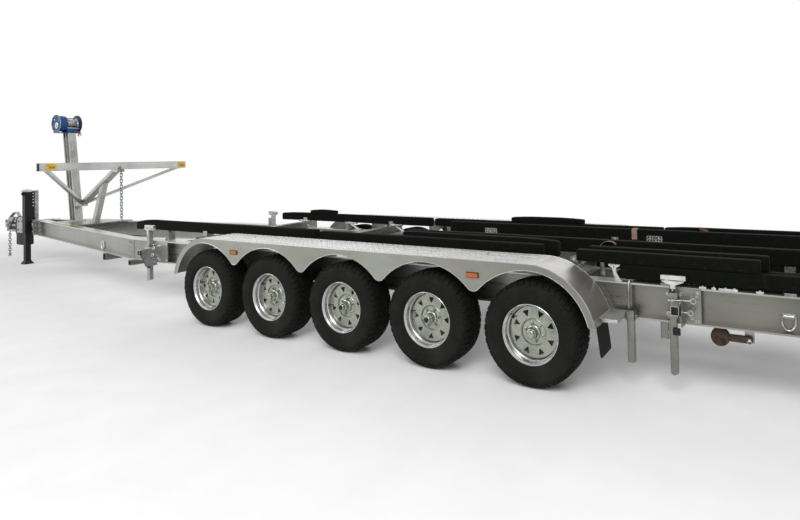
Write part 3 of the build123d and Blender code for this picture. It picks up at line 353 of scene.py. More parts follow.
def addFloor(look):
    mesh = bpy.data.meshes.new("studioFloor")
    half = look["half"]
    mesh.from_pydata([(-half, -half, 0), (half, -half, 0), (half, half, 0), (-half, half, 0)], [],
                     [(0, 1, 2, 3)])
    floor = bpy.data.objects.new("studioFloor", mesh)
    bpy.context.scene.collection.objects.link(floor)
    mat, tree, shader = newMaterial("floorPaint")
    tone = rampOf(tree, noiseOf(tree, look["grain"]), 0.3, 0.7, look["dark"], look["light"])
    feed(tree, shader, {"Base Color": tone, "Roughness": look["roughness"],
                        "Specular IOR Level": look["gloss"]})
    # away from the trailer the floor turns into the white backdrop
    coord = addNode(tree, "TexCoord")
    mapping = addNode(tree, "Mapping", {"Vector": coord.outputs["Object"], "Location": look["middle"],
                                        "Scale": look["reach"]}, vector_type="TEXTURE")
    distance = addNode(tree, "VectorMath", {0: mapping.outputs["Vector"]}, operation="LENGTH")
    fade = addNode(tree, "MapRange", {"Value": distance.outputs["Value"], "From Min": look["fadeFrom"],
                                      "From Max": look["fadeTo"]}, interpolation_type="SMOOTHSTEP")
    share = mathOf(tree, "MULTIPLY", fade.outputs["Result"], shownRays(tree))
    white = addNode(tree, "Emission", {"Color": (1, 1, 1, 1)})
    mix = addNode(tree, "MixShader", {0: share, 1: shader.outputs[0], 2: white.outputs[0]})
    feed(tree, tree.nodes["Material Output"], {"Surface": mix.outputs[0]})
    mesh.materials.append(mat)


addCamera(cameraSet)
addLights()
addWorld(worldSet)
addFloor(floorSet)
bpy.context.scene.view_settings.view_transform = "Standard"
print("camera, light and floor done")


def corners(bm, before):
    bm.verts.ensure_lookup_table()
    return bm.verts[before:]


def addBlock(bm, low, high, soft=0.0, segments=2):
    # box between two corners with softened edges
    part = bmesh.new()
    low, high = Vector(low), Vector(high)
    bmesh.ops.create_cube(part, size=1)
    bmesh.ops.scale(part, vec=[abs(side) for side in high - low], verts=part.verts)
    bmesh.ops.translate(part, vec=(low + high) / 2, verts=part.verts)
    if soft:
        bmesh.ops.bevel(part, geom=list(part.edges), offset=soft, segments=segments, profile=0.6,
                        affect="EDGES")
    mesh = bpy.data.meshes.new("block")
    part.to_mesh(mesh)
    part.free()
    bm.from_mesh(mesh)
    bpy.data.meshes.remove(mesh)


def addRod(bm, start, end, radius, sides=12, endRadius=None):
    start, end = Vector(start), Vector(end)
    run = end - start
    turn = run.to_track_quat("Z", "Y").to_matrix().to_4x4()
    bmesh.ops.create_cone(bm, cap_ends=True, segments=sides, radius1=radius,
                          radius2=radius if endRadius is None else endRadius, depth=run.length,
                          matrix=Matrix.Translation((start + end) / 2) @ turn)


def addBolt(bm, place, outward, size, washer=0.0025):
    # hexagonal head on a washer with a short stud end; size is its radius, head and stud
    radius, head, stud = size
    place, outward = Vector(place), Vector(outward).normalized()
    base, top = place + outward * 0.002, place + outward * (0.002 + head)
    if washer:
        addRod(bm, place, place + outward * washer, radius * 1.45, 20)
    addRod(bm, base, top, radius, 6)
    if stud:
        addRod(bm, top, place + outward * (0.002 + head + stud), radius * 0.5, 10)


def addLathe(bm, profile, centre=(0, 0, 0), segments=48):
    # profile of (radius, y) corners turned about an axis along Y
    centre = Vector(centre)
    rings = []
    for turn in range(segments):
        angle = 2 * math.pi * turn / segments
        rings.append([bm.verts.new(centre + Vector((r * math.cos(angle), y, r * math.sin(angle))))
                      for r, y in profile])
    joinRings(bm, rings, closedRun=True, closedRing=False)


def joinRings(bm, rings, closedRun=False, closedRing=True):
    # faces between neighbouring rings, with end caps on an open run of closed rings
    count = len(rings[0])
    for here, there in zip(rings, rings[1:] + rings[:1] if closedRun else rings[1:]):
        for n in range(count if closedRing else count - 1):
            m = (n + 1) % count
            bm.faces.new((here[n], here[m], there[m], there[n]))
    if closedRing and not closedRun:
        bm.faces.new(rings[0][::-1])
        bm.faces.new(rings[-1])


def addRun(bm, points, radius, sides=8, closed=False):
    # round bar that follows points
    points = [Vector(p) for p in points]
    rings = []
    up = None
    count = len(points)
    for n, point in enumerate(points):
        ahead = points[(n + 1) % count] if closed or n + 1 < count else point
        behind = points[n - 1] if closed or n else point
        run = (ahead - behind).normalized()
        if up is None:
            up = run.orthogonal().normalized()
        up = (up - run * up.dot(run)).normalized()
        side = run.cross(up)
        rings.append([bm.verts.new(point + radius * (math.cos(2 * math.pi * k / sides) * up
                                                     + math.sin(2 * math.pi * k / sides) * side))
                      for k in range(sides)])
    joinRings(bm, rings, closedRun=closed)


def addStrap(bm, points, wide, thick, flat):
    # flat webbing or bar that follows points, its flat side facing flat
    flat = Vector(flat).normalized()
    points = [Vector(p) for p in points]
    rings = []
    for n, point in enumerate(points):
        run = (points[min(n + 1, len(points) - 1)] - points[max(n - 1, 0)]).normalized()
        face = (flat - run * flat.dot(run)).normalized()
        across = run.cross(face)
        rings.append([bm.verts.new(point + across * a * wide / 2 + face * b * thick / 2)
                      for a, b in ((-1, -1), (1, -1), (1, 1), (-1, 1))])
    joinRings(bm, rings)


def addSheet(bm, outline, thickness, place, holes=()):
    # flat plate cut to an outline with holes, its own XY laid into place
    curve = bpy.data.curves.new("cutOutline", "CURVE")
    curve.dimensions = "2D"
    curve.fill_mode = "BOTH"
    curve.extrude = thickness / 2
    for loop in (outline, *holes):
        spline = curve.splines.new("POLY")
        spline.points.add(len(loop) - 1)
        for point, (x, y) in zip(spline.points, loop):
            point.co = (x, y, 0, 1)
        spline.use_cyclic_u = True
    holder = bpy.data.objects.new("cutOutline", curve)
    mesh = bpy.data.meshes.new_from_object(holder)
    mesh.transform(place)
    bm.from_mesh(mesh)
    bpy.data.objects.remove(holder)
    bpy.data.meshes.remove(mesh)
    bpy.data.curves.remove(curve)


# a sheet's own XY laid into the XZ and the YZ plane
layXZ = Matrix(((1, 0, 0, 0), (0, 0, 1, 0), (0, 1, 0, 0), (0, 0, 0, 1)))
layYZ = Matrix(((0, 0, 1, 0), (1, 0, 0, 0), (0, 1, 0, 0), (0, 0, 0, 1)))


def addSideSheet(bm, outline, thickness, y, holes=()):
    addSheet(bm, outline, thickness, Matrix.Translation((0, y, 0)) @ layXZ, holes)


def addCrossSheet(bm, outline, thickness, x, holes=()):
    addSheet(bm, outline, thickness, Matrix.Translation((x, 0, 0)) @ layYZ, holes)


def ringOf(radius, count, x=0.0, y=0.0):
    steps = [2 * math.pi * n / count for n in range(count)]
    return [(x + radius * math.cos(a), y + radius * math.sin(a)) for a in steps]


def boxLoop(x0, y0, x1, y1, radius=0.0):
    # rectangle's outline, its corners rounded if a radius is given
    loop = [(x0, y0), (x1, y0), (x1, y1), (x0, y1)]
    return roundedLoop(loop, radius) if radius else loop


def roundedLoop(points, radius, steps=4):
    # closed outline with rounded corners
    loop = []
    count = len(points)
    for n in range(count):
        here, before, after = (Vector(points[k % count]) for k in (n, n - 1, n + 1))
        reachIn = min(radius, (before - here).length * 0.45)
        reachOut = min(radius, (after - here).length * 0.45)
        start = here + (before - here).normalized() * reachIn
        end = here + (after - here).normalized() * reachOut
        for k in range(steps + 1):
            t = k / steps
            loop.append(tuple(start * (1 - t) ** 2 + here * 2 * t * (1 - t) + end * t ** 2))
    return loop


def finishMesh(bm, name, mats, smooth=35.0):
    bmesh.ops.recalc_face_normals(bm, faces=bm.faces)
    mesh = bpy.data.meshes.new(name)
    bm.to_mesh(mesh)
    bm.free()
    for mat in mats:
        mesh.materials.append(mat)
    if smooth:
        mesh.polygons.foreach_set("use_smooth", [True] * len(mesh.polygons))
        mesh.set_sharp_from_angle(angle=math.radians(smooth))
    return mesh


def putPiece(name, mesh, body, gone=(), place=None):
    piece = bpy.data.objects.new(name, mesh)
    bpy.context.scene.collection.objects.link(piece)
    if place is not None:
        piece.matrix_world = place
    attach(piece, body)
    if gone:
        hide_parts(*gone)


def makePiece(name, bm, finish, gone=(), smooth=35.0, body=rootBody):
    putPiece(name, finishMesh(bm, name, (finish,), smooth), body, gone)


def pick(look, keys):
    # several of a dictionary's values at once
    return [look[key] for key in keys.split()]


def sideways(hand, points):
    # points given for the left, on either side
    return [Vector((x, hand * y, z)) for x, y, z in points]


axleSet = {"first": -0.21, "pitch": 0.9, "count": 5, "face": 1.22, "height": 0.386}
tyreSet = {
    "pitches": 46, "middle": -0.116, "skew": 0.35, "draft": 0.1, "segments": 92,
    # half of the carcass's section as (radius, distance from the middle), bead to crown
    "carcass": ((0.2212, 0.114), (0.232, 0.1205), (0.24, 0.1265), (0.244, 0.1262), (0.248, 0.1285),
                (0.262, 0.1312), (0.266, 0.1322), (0.27, 0.1315), (0.29, 0.1335), (0.312, 0.134),
                (0.316, 0.1334), (0.32, 0.1338), (0.333, 0.1312), (0.345, 0.1262), (0.356, 0.118),
                (0.365, 0.1095), (0.371, 0.098), (0.3745, 0.08), (0.375, 0.04)),
    # the tread's outer line as (distance from the middle, radius)
    "crown": ((0.0, 0.386), (0.04, 0.3857), (0.075, 0.3845), (0.098, 0.3815), (0.111, 0.3755),
              (0.121, 0.365), (0.1275, 0.353), (0.1305, 0.343)),
    # tread blocks: distances across, share of the pitch, depth
    "centre": ((-0.0165, 0.0165), 0.8, 0.012), "inner": ((0.0225, 0.06), 0.78, 0.012),
    "shoulders": (((0.071, 0.098, 0.112, 0.1215), 0.8, 0.0075),
                  ((0.067, 0.098, 0.114, 0.1285), 0.72, 0.0075)), "innerSkew": 0.7, "shoulderSkew": 0.9,
    "shoulderShift": 0.42, "shifts": {-1: 0.27, 1: 0.5},
}


def crownRadius(distance):
    table = tyreSet["crown"]
    for (d0, r0), (d1, r1) in zip(table, table[1:]):
        if distance <= d1:
            return r0 + (r1 - r0) * max(0.0, distance - d0) / (d1 - d0)
    return table[-1][1]


def addLug(bm, angle, wide, run, depth, skew):
    # one tread block: across the tyre through the distances in run, wide in radians
    middle = tyreSet["middle"]
    draft = tyreSet["draft"] * wide
    rows = []
    for distance in run:
        radius = crownRadius(abs(distance))
        sideways = max(0.0, abs(distance) - 0.1) / 0.03
        low = radius - depth * (1 - 0.6 * sideways)
        lowY = distance - math.copysign(depth * 0.8 * sideways, distance)
        row = []
        for turn, flare in ((-0.5, -draft), (0.5, draft)):
            a = angle + turn * wide + skew * (distance - run[0])
            top = Vector((radius * math.cos(a), middle + distance, radius * math.sin(a)))
            b = a + flare
            foot = Vector((low * math.cos(b), middle + lowY, low * math.sin(b)))
            row.append((bm.verts.new(top), bm.verts.new(foot)))
        rows.append(row)
    for here, there in zip(rows, rows[1:]):
        bm.faces.new((here[0][0], here[1][0], there[1][0], there[0][0]))
        bm.faces.new((here[0][0], there[0][0], there[0][1], here[0][1]))
        bm.faces.new((here[1][0], here[1][1], there[1][1], there[1][0]))
    for row in (rows[0], rows[-1]):
        bm.faces.new((row[0][0], row[0][1], row[1][1], row[1][0]))


def paintFaces(bm, first, last, index):
    bm.faces.ensure_lookup_table()
    for face in bm.faces[first:last]:
        face.material_index = index


def tyreMesh():
    bm = bmesh.new()
    look = tyreSet
    middle, half = look["middle"], look["carcass"]
    profile = [(r, middle + d) for r, d in half] + [(r, middle - d) for r, d in reversed(half)]
    addLathe(bm, profile, segments=look["segments"])
    carcassFaces = len(bm.faces)
    step = 2 * math.pi / look["pitches"]
    skew = look["skew"] / axleSet["height"] * 4
    for n in range(look["pitches"]):
        angle = step * n
        run, share, depth = look["centre"]
        addLug(bm, angle, step * share, run, depth, skew)
        for hand in (-1, 1):
            start = angle + step * look["shifts"][hand]
            run, share, depth = look["inner"]
            addLug(bm, start, step * share, [hand * d for d in run], depth, -skew * hand * look["innerSkew"])
            # short and long shoulder blocks take turns
            run, share, depth = look["shoulders"][(n + (hand > 0)) % 2]
            addLug(bm, start + step * look["shoulderShift"], step * share, [hand * d for d in run], depth,
                   look["shoulderSkew"] * hand)
    paintFaces(bm, carcassFaces, None, 1)
    return finishMesh(bm, "tyreShape", (tyreRubber, treadRubber), 30)


rimSet = {
    # sections as (radius, y) corners
    "lip": ((0.2205, -0.007), (0.2208, -0.0015), (0.2185, 0.0), (0.215, -0.001), (0.2125, -0.006),
            (0.2075, -0.011), (0.204, -0.019), (0.2035, -0.04), (0.2015, -0.0455), (0.1965, -0.05),
            (0.1955, -0.0665), (0.1905, -0.076), (0.189, -0.09)),
    "back": ((0.189, -0.09), (0.1905, -0.15), (0.204, -0.17), (0.206, -0.215), (0.2135, -0.226),
             (0.217, -0.2295), (0.22, -0.229), (0.2205, -0.223), (0.21, -0.214), (0.208, -0.172),
             (0.195, -0.15), (0.193, -0.09), (0.2, -0.066), (0.206, -0.045), (0.208, -0.018),
             (0.2205, -0.007)),
    "bowl": ((0.103, -0.0735), (0.1015, -0.07), (0.0985, -0.068), (0.0955, -0.069), (0.0935, -0.074),
             (0.09, -0.079), (0.06, -0.08), (0.057, -0.0785)),
    "hub": ((0.0575, -0.079), (0.0565, -0.065), (0.052, -0.06), (0.044, -0.0575), (0.0415, -0.052),
            (0.0405, -0.033), (0.0375, -0.029), (0.036, -0.024), (0.032, -0.022), (0.031, -0.018),
            (0.03, -0.0035), (0.0275, -0.001), (0.0225, -0.0004), (0.021, -0.003), (0.012, -0.0036),
            (0.0001, -0.0036)),
    "brake": ((0.05, -0.092), (0.165, -0.092), (0.165, -0.148), (0.159, -0.154), (0.08, -0.156),
              (0.06, -0.17), (0.057, -0.284), (0.03, -0.284)),
    "disc": {"y": -0.0735, "thick": 0.0045, "outer": 0.187, "inner": 0.1028},
    "windows": {"count": 8, "radius": 0.147, "reach": 0.035, "corner": 0.011, "flange": 0.0032,
                "turns": (math.pi, math.pi * 1.69, math.pi * 0.31)},
    # wheel nuts and their studs: start and end in y, radius, sides, radius at the end
    "nuts": 6, "nutRadius": 0.0699,
    "nutRods": ((-0.08, -0.077, 0.0145, 16, None), (-0.077, -0.06, 0.0112, 6, 0.0102),
                (-0.06, -0.053, 0.0066, 10, None)),
    "ribs": {"count": 6, "foot": 0.046, "top": 0.041, "low": -0.079, "high": -0.04, "radius": 0.0042},
    "valve": {"angle": 32.0, "rods": ((0.188, 0.178, 0.0062), (0.18, 0.172, 0.0044)), "y": -0.066},
    "plugRods": ((-0.0036, -0.0005, 0.0195, 20), (-0.001, 0.0, 0.011, 16)),
}


def windowLoops():
    # rounded three-cornered windows, their points towards the hub
    look = rimSet["windows"]
    loops = []
    for n in range(look["count"]):
        turn = 2 * math.pi * (n + 0.5) / look["count"]
        x, z = look["radius"] * math.cos(turn), look["radius"] * math.sin(turn)
        shape = [(x + look["reach"] * math.cos(turn + k), z + look["reach"] * math.sin(turn + k))
                 for k in look["turns"]]
        loops.append(roundedLoop(shape, look["corner"]))
    return loops


def wheelMesh():
    bm = bmesh.new()
    look, disc, ribs, valve = rimSet, rimSet["disc"], rimSet["ribs"], rimSet["valve"]
    addLathe(bm, look["lip"], segments=72)
    # painted highlight: the rim's lip takes the lighter lip steel
    paintFaces(bm, 0, None, 1)
    addLathe(bm, look["back"], segments=48)
    windows = windowLoops()
    addSideSheet(bm, ringOf(disc["outer"], 72), disc["thick"], disc["y"],
                 [ringOf(disc["inner"], 48)] + windows)
    for loop in windows:
        # stamped flange round each window
        addRun(bm, [(x, disc["y"], z) for x, z in loop], rimSet["windows"]["flange"], 6, closed=True)
    addLathe(bm, look["bowl"], segments=48)
    addLathe(bm, look["hub"], segments=32)
    for n in range(look["nuts"]):
        turn = 2 * math.pi * (n + 0.25) / look["nuts"]
        x, z = look["nutRadius"] * math.cos(turn), look["nutRadius"] * math.sin(turn)
        for start, end, radius, sides, endRadius in look["nutRods"]:
            addRod(bm, (x, start, z), (x, end, z), radius, sides, endRadius)
    # ribs between the hub barrel and its flange
    for n in range(ribs["count"]):
        turn = 2 * math.pi * (n + 0.75) / ribs["count"]
        x, z = math.cos(turn), math.sin(turn)
        addRod(bm, (ribs["foot"] * x, ribs["low"], ribs["foot"] * z),
               (ribs["top"] * x, ribs["high"], ribs["top"] * z), ribs["radius"], 6)
    shiny = len(bm.faces)
    # brake drum seen through the windows, and the back of the hub
    addLathe(bm, look["brake"], segments=40)
    rusty = len(bm.faces)
    turn = math.radians(valve["angle"])
    for start, end, radius in valve["rods"]:
        y = valve["y"] + (0.188 - start) * 0.9
        addRod(bm, (start * math.cos(turn), y - 0.004, start * math.sin(turn)),
               (end * math.cos(turn), y + 0.016, end * math.sin(turn)), radius, 10)
    paintFaces(bm, shiny, rusty, 2)
    paintFaces(bm, rusty, None, 3)
    return finishMesh(bm, "wheelShape", (rimSteel, lipHighlightSteel, rustyIron, blackPlastic), 40)


# the wheels stand at three different turns
wheelTurns = {"angles": (0.0, 21.0, 36.0), "left": (1, 0, 2, 1, 0), "right": (2, 1, 0, 2, 1),
              "plugged": (3, 4)}


def addRunningGear():
    tyreShape, wheelShape = tyreMesh(), wheelMesh()
    plug = bmesh.new()
    for start, end, radius, sides in rimSet["plugRods"]:
        addRod(plug, (0, start, 0), (0, end, 0), radius, sides)
    plugShape = finishMesh(plug, "capPlugShape", (blackPlastic,))
    turned = []
    for angle in wheelTurns["angles"]:
        shapes = [shape.copy() for shape in (tyreShape, wheelShape)]
        for shape in shapes:
            shape.transform(Matrix.Rotation(math.radians(angle), 4, "Y"))
        turned.append(shapes)
    for side, hand in (("left", 1), ("right", -1)):
        face = Matrix.Rotation(0 if hand > 0 else math.pi, 4, "Z")
        for number in range(1, axleSet["count"] + 1):
            x = axleSet["first"] - axleSet["pitch"] * (number - 1)
            place = Matrix.Translation((x, hand * axleSet["face"], axleSet["height"])) @ face
            tyre, wheel = turned[wheelTurns[side][number - 1]]
            end = f"{side}_{number}"
            body = f"running_wheel_{end}"
            putPiece(f"treadedTyre_{end}", tyre, body, (f"tyre_{end}",), place)
            putPiece(f"spokeWheel_{end}", wheel, body, (f"wheel_{end}",), place)
            if number in wheelTurns["plugged"]:
                putPiece(f"capPlug_{end}", plugShape, body, (), place)


addRunningGear()
print("running gear done")


bunkSet = {
    "edge": 0.013, "step": 0.16, "wave": 0.0022, "width": 0.076, "pinch": 0.1, "ends": (0.004, 0.014),
    "droopReach": 0.3,
    # hand, front x, rear x, y of the middle, foot, height, droop at the front end, droop at the rear end
    "boards": ((1, 1.79, -1.266, 0.745, 0.857, 0.118, 0.03, 0.0),
               (1, -1.33, -3.734, 0.745, 0.857, 0.108, 0.0, 0.0),
               (1, -2.287, -3.827, 0.655, 0.857, 0.14, 0.0, 0.016),
               (1, -4.376, -7.12, 0.806, 0.76, 0.106, 0.0, 0.0),
               (1, -4.448, -7.12, 0.718, 0.76, 0.106, 0.0, 0.0),
               (1, -4.038, -5.31, 0.806, 0.8663, 0.09, 0.0, 0.0),
               (1, -4.108, -5.359, 0.718, 0.8663, 0.106, 0.0, 0.0),
               (1, -2.14, -7.12, 0.4, 0.855, 0.121, 0.0, 0.0),
               (-1, 0.9, -1.64, 0.745, 0.844, 0.107, 0.012, 0.0),
               (-1, -1.7, -4.38, 0.745, 0.857, 0.092, 0.0, 0.0),
               (-1, -2.725, -3.563, 0.745, 0.9493, 0.058, 0.012, 0.012),
               (-1, 0.352, -0.094, 0.745, 0.95, 0.052, 0.012, 0.012),
               (-1, -4.448, -7.12, 0.806, 0.76, 0.106, 0.0, 0.0),
               (-1, -4.448, -7.12, 0.718, 0.76, 0.106, 0.0, 0.0),
               (-1, -4.383, -6.9, 0.806, 0.8663, 0.086, 0.012, 0.0),
               (-1, -2.14, -7.12, 0.4, 0.848, 0.12, 0.0, 0.0)),
}


def addBoard(bm, ahead, behind, y, foot, width, high, frontDroop, rearDroop):
    # carpet wrapped round a board: rounded long edges, a slightly uneven nap and folded ends
    edge, wave, reach = bunkSet["edge"], bunkSet["wave"], bunkSet["droopReach"]
    section = []
    for cornerY, cornerZ, start in ((width / 2 - edge, high - edge, 0), (-width / 2 + edge, high - edge, 90),
                                    (-width / 2 + edge, edge, 180), (width / 2 - edge, edge, 270)):
        for k in range(4):
            a = math.radians(start + 30 * k)
            section.append((cornerY + edge * math.cos(a), cornerZ + edge * math.sin(a)))
    length = ahead - behind
    count = max(6, round(length / bunkSet["step"]))
    fold, hem = bunkSet["ends"]
    stations = [behind, behind + fold, behind + hem]
    stations += [behind + length * n / count for n in range(1, count)]
    stations += [ahead - hem, ahead - fold, ahead]
    rings = []
    for x in stations:
        fromEnd = min(x - behind, ahead - x)
        pinch = 1.0 - bunkSet["pinch"] * max(0.0, 1 - fromEnd / hem) ** 2
        droop = (frontDroop * max(0.0, 1 - (ahead - x) / reach) ** 2
                 + rearDroop * max(0.0, 1 - (x - behind) / reach) ** 2)
        loop = []
        for ringY, ringZ in section:
            nap = noise.noise(Vector((x * 2.3, ringY * 9 + y * 4, ringZ * 9 + foot))) * wave - wave
            outward = Vector((ringY, ringZ - high / 2)).normalized()
            sag = droop * (0.35 + 0.65 * ringZ / high)
            loop.append(bm.verts.new((
                x, y + ringY * pinch + outward.x * nap,
                foot + 0.001 + (ringZ - high / 2) * pinch + high / 2 + outward.y * nap - sag)))
        rings.append(loop)
    joinRings(bm, rings)


stapleSet = {"long": 0.012, "thick": 0.0014, "pitch": 0.22, "lift": 0.016, "shares": (-0.3, 0.0, 0.3),
             "share": 0.3}


def addStaples(bm, ahead, behind, y, foot, high):
    # staples that hold the carpet's folded ends and its lower edge
    look, width = stapleSet, bunkSet["width"]
    long, thick = look["long"], look["thick"]
    z = foot + high * look["share"]
    for x in (ahead, behind):
        for k in look["shares"]:
            middle = y + k * width
            addBlock(bm, (x - 0.0006, middle - long / 2, z), (x + 0.0008, middle + long / 2, z + thick))
    x = behind + 0.12
    z = foot + look["lift"]
    while x < ahead - 0.1:
        for hand in (-1, 1):
            edge = y + hand * (width / 2 - 0.0012)
            addBlock(bm, (x, edge - 0.0008, z), (x + long, edge + 0.0008, z + thick))
        x += look["pitch"]


def addBunks():
    for side, hand in (("left", 1), ("right", -1)):
        cloth, pins = bmesh.new(), bmesh.new()
        for boardHand, ahead, behind, y, foot, high, frontDroop, rearDroop in bunkSet["boards"]:
            if boardHand == hand:
                addBoard(cloth, ahead, behind, hand * y, foot, bunkSet["width"], high, frontDroop, rearDroop)
                addStaples(pins, ahead, behind, hand * y, foot, high)
        makePiece(f"carpetedBunks_{side}", cloth, carpet, (f"bunks_{side}",), 50)
        makePiece(f"bunkStaples_{side}", pins, rustyIron, (), 0)


addBunks()
print("bunks done")


fenderSet = {
    "outer": 1.25, "top": 0.9, "archTop": 0.852, "foot": 0.502, "tip": 0.665, "tipRadius": 0.066,
    "lip": 0.0036, "rimY": 0.874, "boltYs": (0.9, 1.0), "bolt": (0.009, 0.006, 0.0), "studPitch": 0.06,
    "studLength": 0.044, "studWide": 0.015, "studHigh": 0.0022, "studInner": 0.892, "studOuter": 1.232,
    "studEnd": 0.04,
}


def archRun():
    # scalloped lower edge of the skirt as (x, z) points, front to rear
    front, half, hub = axleSet["first"], axleSet["pitch"] / 2, axleSet["height"]
    tip, tipRadius, top = fenderSet["tip"], fenderSet["tipRadius"], fenderSet["archTop"]
    rise = tip + tipRadius - top
    radius = (half ** 2 + rise ** 2 - tipRadius ** 2) / (2 * (tipRadius - rise))
    middle = top - radius
    join = math.atan2(half, tip + tipRadius - middle)
    endRadius = top - hub
    low = math.asin((fenderSet["foot"] - hub) / endRadius)
    ends = [low + (math.pi / 2 - low) * n / 14 for n in range(14)]
    run = [(front + endRadius * math.cos(a), hub + endRadius * math.sin(a)) for a in ends]
    last = axleSet["count"] - 1
    for number in range(axleSet["count"]):
        x = front - axleSet["pitch"] * number
        start, end = (0.0 if number == 0 else -join), (0.0 if number == last else join)
        count = 10 if number in (0, last) else 20
        run += [(x - radius * math.sin(start + (end - start) * n / count),
                 middle + radius * math.cos(start + (end - start) * n / count)) for n in range(count + 1)]
        if number < last:
            turns = [2 * join * n / 8 - join for n in range(1, 8)]
            run += [(x - half - tipRadius * math.sin(a), tip + tipRadius - tipRadius * math.cos(a))
                    for a in turns]
    rear = front - axleSet["pitch"] * last
    return run + [(rear - endRadius * math.cos(a), hub + endRadius * math.sin(a)) for a in reversed(ends)]


def topRun(radius):
    # outer edge of the fender's top as (x, z) points, front to rear
    front, hub = axleSet["first"], axleSet["height"]
    rear = front - axleSet["pitch"] * (axleSet["count"] - 1)
    low = math.asin((fenderSet["foot"] - hub) / radius)
    steps = [low + (math.pi / 2 - low) * n / 18 for n in range(19)]
    run = [(front + radius * math.cos(a), hub + radius * math.sin(a)) for a in steps]
    run += [(front + (rear - front) * n / 12, hub + radius) for n in range(1, 12)]
    return run + [(rear - radius * math.cos(a), hub + radius * math.sin(a)) for a in reversed(steps)]


def addStud(bm, x, y, z, turn):
    # one raised bar of the tread pattern, pointed at both ends
    long, wide, high = fenderSet["studLength"] / 2, fenderSet["studWide"] / 2, fenderSet["studHigh"]
    c, s = math.cos(turn), math.sin(turn)
    loop = [(-long, 0), (-long * 0.3, -wide), (long * 0.3, -wide), (long, 0), (long * 0.3, wide),
            (-long * 0.3, wide)]
    foot, top = ([bm.verts.new((x + size * (a * c - b * s), y + size * (a * s + b * c), level))
                  for a, b in loop]
                 for size, level in ((1.0, z), (0.75, z + high)))
    for n in range(6):
        m = (n + 1) % 6
        bm.faces.new((foot[n], foot[m], top[m], top[n]))
    bm.faces.new(top)


def addTread(bm, hand):
    look = fenderSet
    pitch, end = look["studPitch"], look["studEnd"]
    x = axleSet["first"] + end
    row = 0
    while x > axleSet["first"] - axleSet["pitch"] * (axleSet["count"] - 1) - end:
        y = look["studInner"] + (row % 2) * pitch / 2
        column = row % 2
        while y < look["studOuter"]:
            turn = math.radians(45 if (row + column) % 2 else -45)
            addStud(bm, x, hand * y, look["top"], turn)
            y += pitch
            column += 1
        x -= pitch * 0.5
        row += 1


def addFenderTrims():
    look = fenderSet
    lip, outer = look["lip"], look["outer"]
    radius = look["top"] - axleSet["height"]
    for side, hand in (("left", 1), ("right", -1)):
        # rolled lips along the skirt's arches and along both edges of the top
        trims, studs = bmesh.new(), bmesh.new()
        for run, y, thick, sides in ((archRun(), outer - lip * 0.7, lip, 8),
                                     (topRun(radius - lip * 0.8), outer - lip, lip * 1.1, 8),
                                     (topRun(radius - lip * 0.3), look["rimY"], lip * 0.9, 6)):
            addRun(trims, [(x, hand * y, z) for x, z in run], thick, sides)
        # bolts that hold the fender to the frame brackets
        for number in range(axleSet["count"] - 1):
            x = axleSet["first"] - axleSet["pitch"] * (number + 0.5)
            for y in look["boltYs"]:
                addBolt(trims, (x, hand * y, look["top"]), (0, 0, 1), look["bolt"])
        # painted highlight: the rolled lips and their bolts take the lighter lip steel
        makePiece(f"fenderLips_{side}", trims, lipHighlightSteel)
        addTread(studs, hand)
        makePiece(f"fenderTread_{side}", studs, paleZinc, (), 0)


lampSet = {
    "length": 0.11, "high": 0.042, "z": 0.786, "xs": (-0.66, -3.36), "face": 1.25, "shell": 0.005,
    "frame": 0.005, "back": 0.003, "lens": 0.014, "ribs": 9, "ribInset": 0.016, "ribFace": 0.0125,
    "ribRadius": 0.0014, "screwInset": 0.009,
}


def addSideLamps():
    shell, lens = bmesh.new(), bmesh.new()
    look = lampSet
    long, high, z, rim = look["length"] / 2, look["high"] / 2, look["z"], look["frame"]
    for hand in (-1, 1):
        face = hand * look["face"]
        for x in look["xs"]:
            addBlock(shell, (x - long, face, z - high), (x + long, face + hand * look["shell"], z + high),
                     0.0022)
            addBlock(lens, (x - long + rim, face + hand * look["back"], z - high + rim),
                     (x + long - rim, face + hand * look["lens"], z + high - rim), 0.004, 3)
            # moulded ribs of the reflector
            ribY = face + hand * look["ribFace"]
            for n in range(look["ribs"]):
                ribX = x - long + look["ribInset"] + n * 2 * (long - look["ribInset"]) / (look["ribs"] - 1)
                addRod(lens, (ribX, ribY, z - high + 0.009), (ribX, ribY, z + high - 0.009),
                       look["ribRadius"], 6)
            for end in (-1, 1):
                screwX = x + end * (long - look["screwInset"])
                addRod(shell, (screwX, face + hand * 0.009, z), (screwX, face + hand * 0.0138, z), 0.0034, 10)
    makePiece("sideLampShells", shell, blackPlastic)
    makePiece("sideLampLenses", lens, amberLens, ("side_lamps",))


flapSet = {
    "inner": 0.95, "outer": 1.19, "top": 0.54, "bottom": 0.284, "slope": 0.13, "edgeX": -4.296,
    "wall": 0.008, "corner": 0.022, "stripLow": 0.494, "stripHigh": 0.518, "stripThick": 0.003,
    "stripShare": 0.95, "boltShares": (-0.8, -0.27, 0.27, 0.8), "bolt": (0.007, 0.005, 0.003),
}


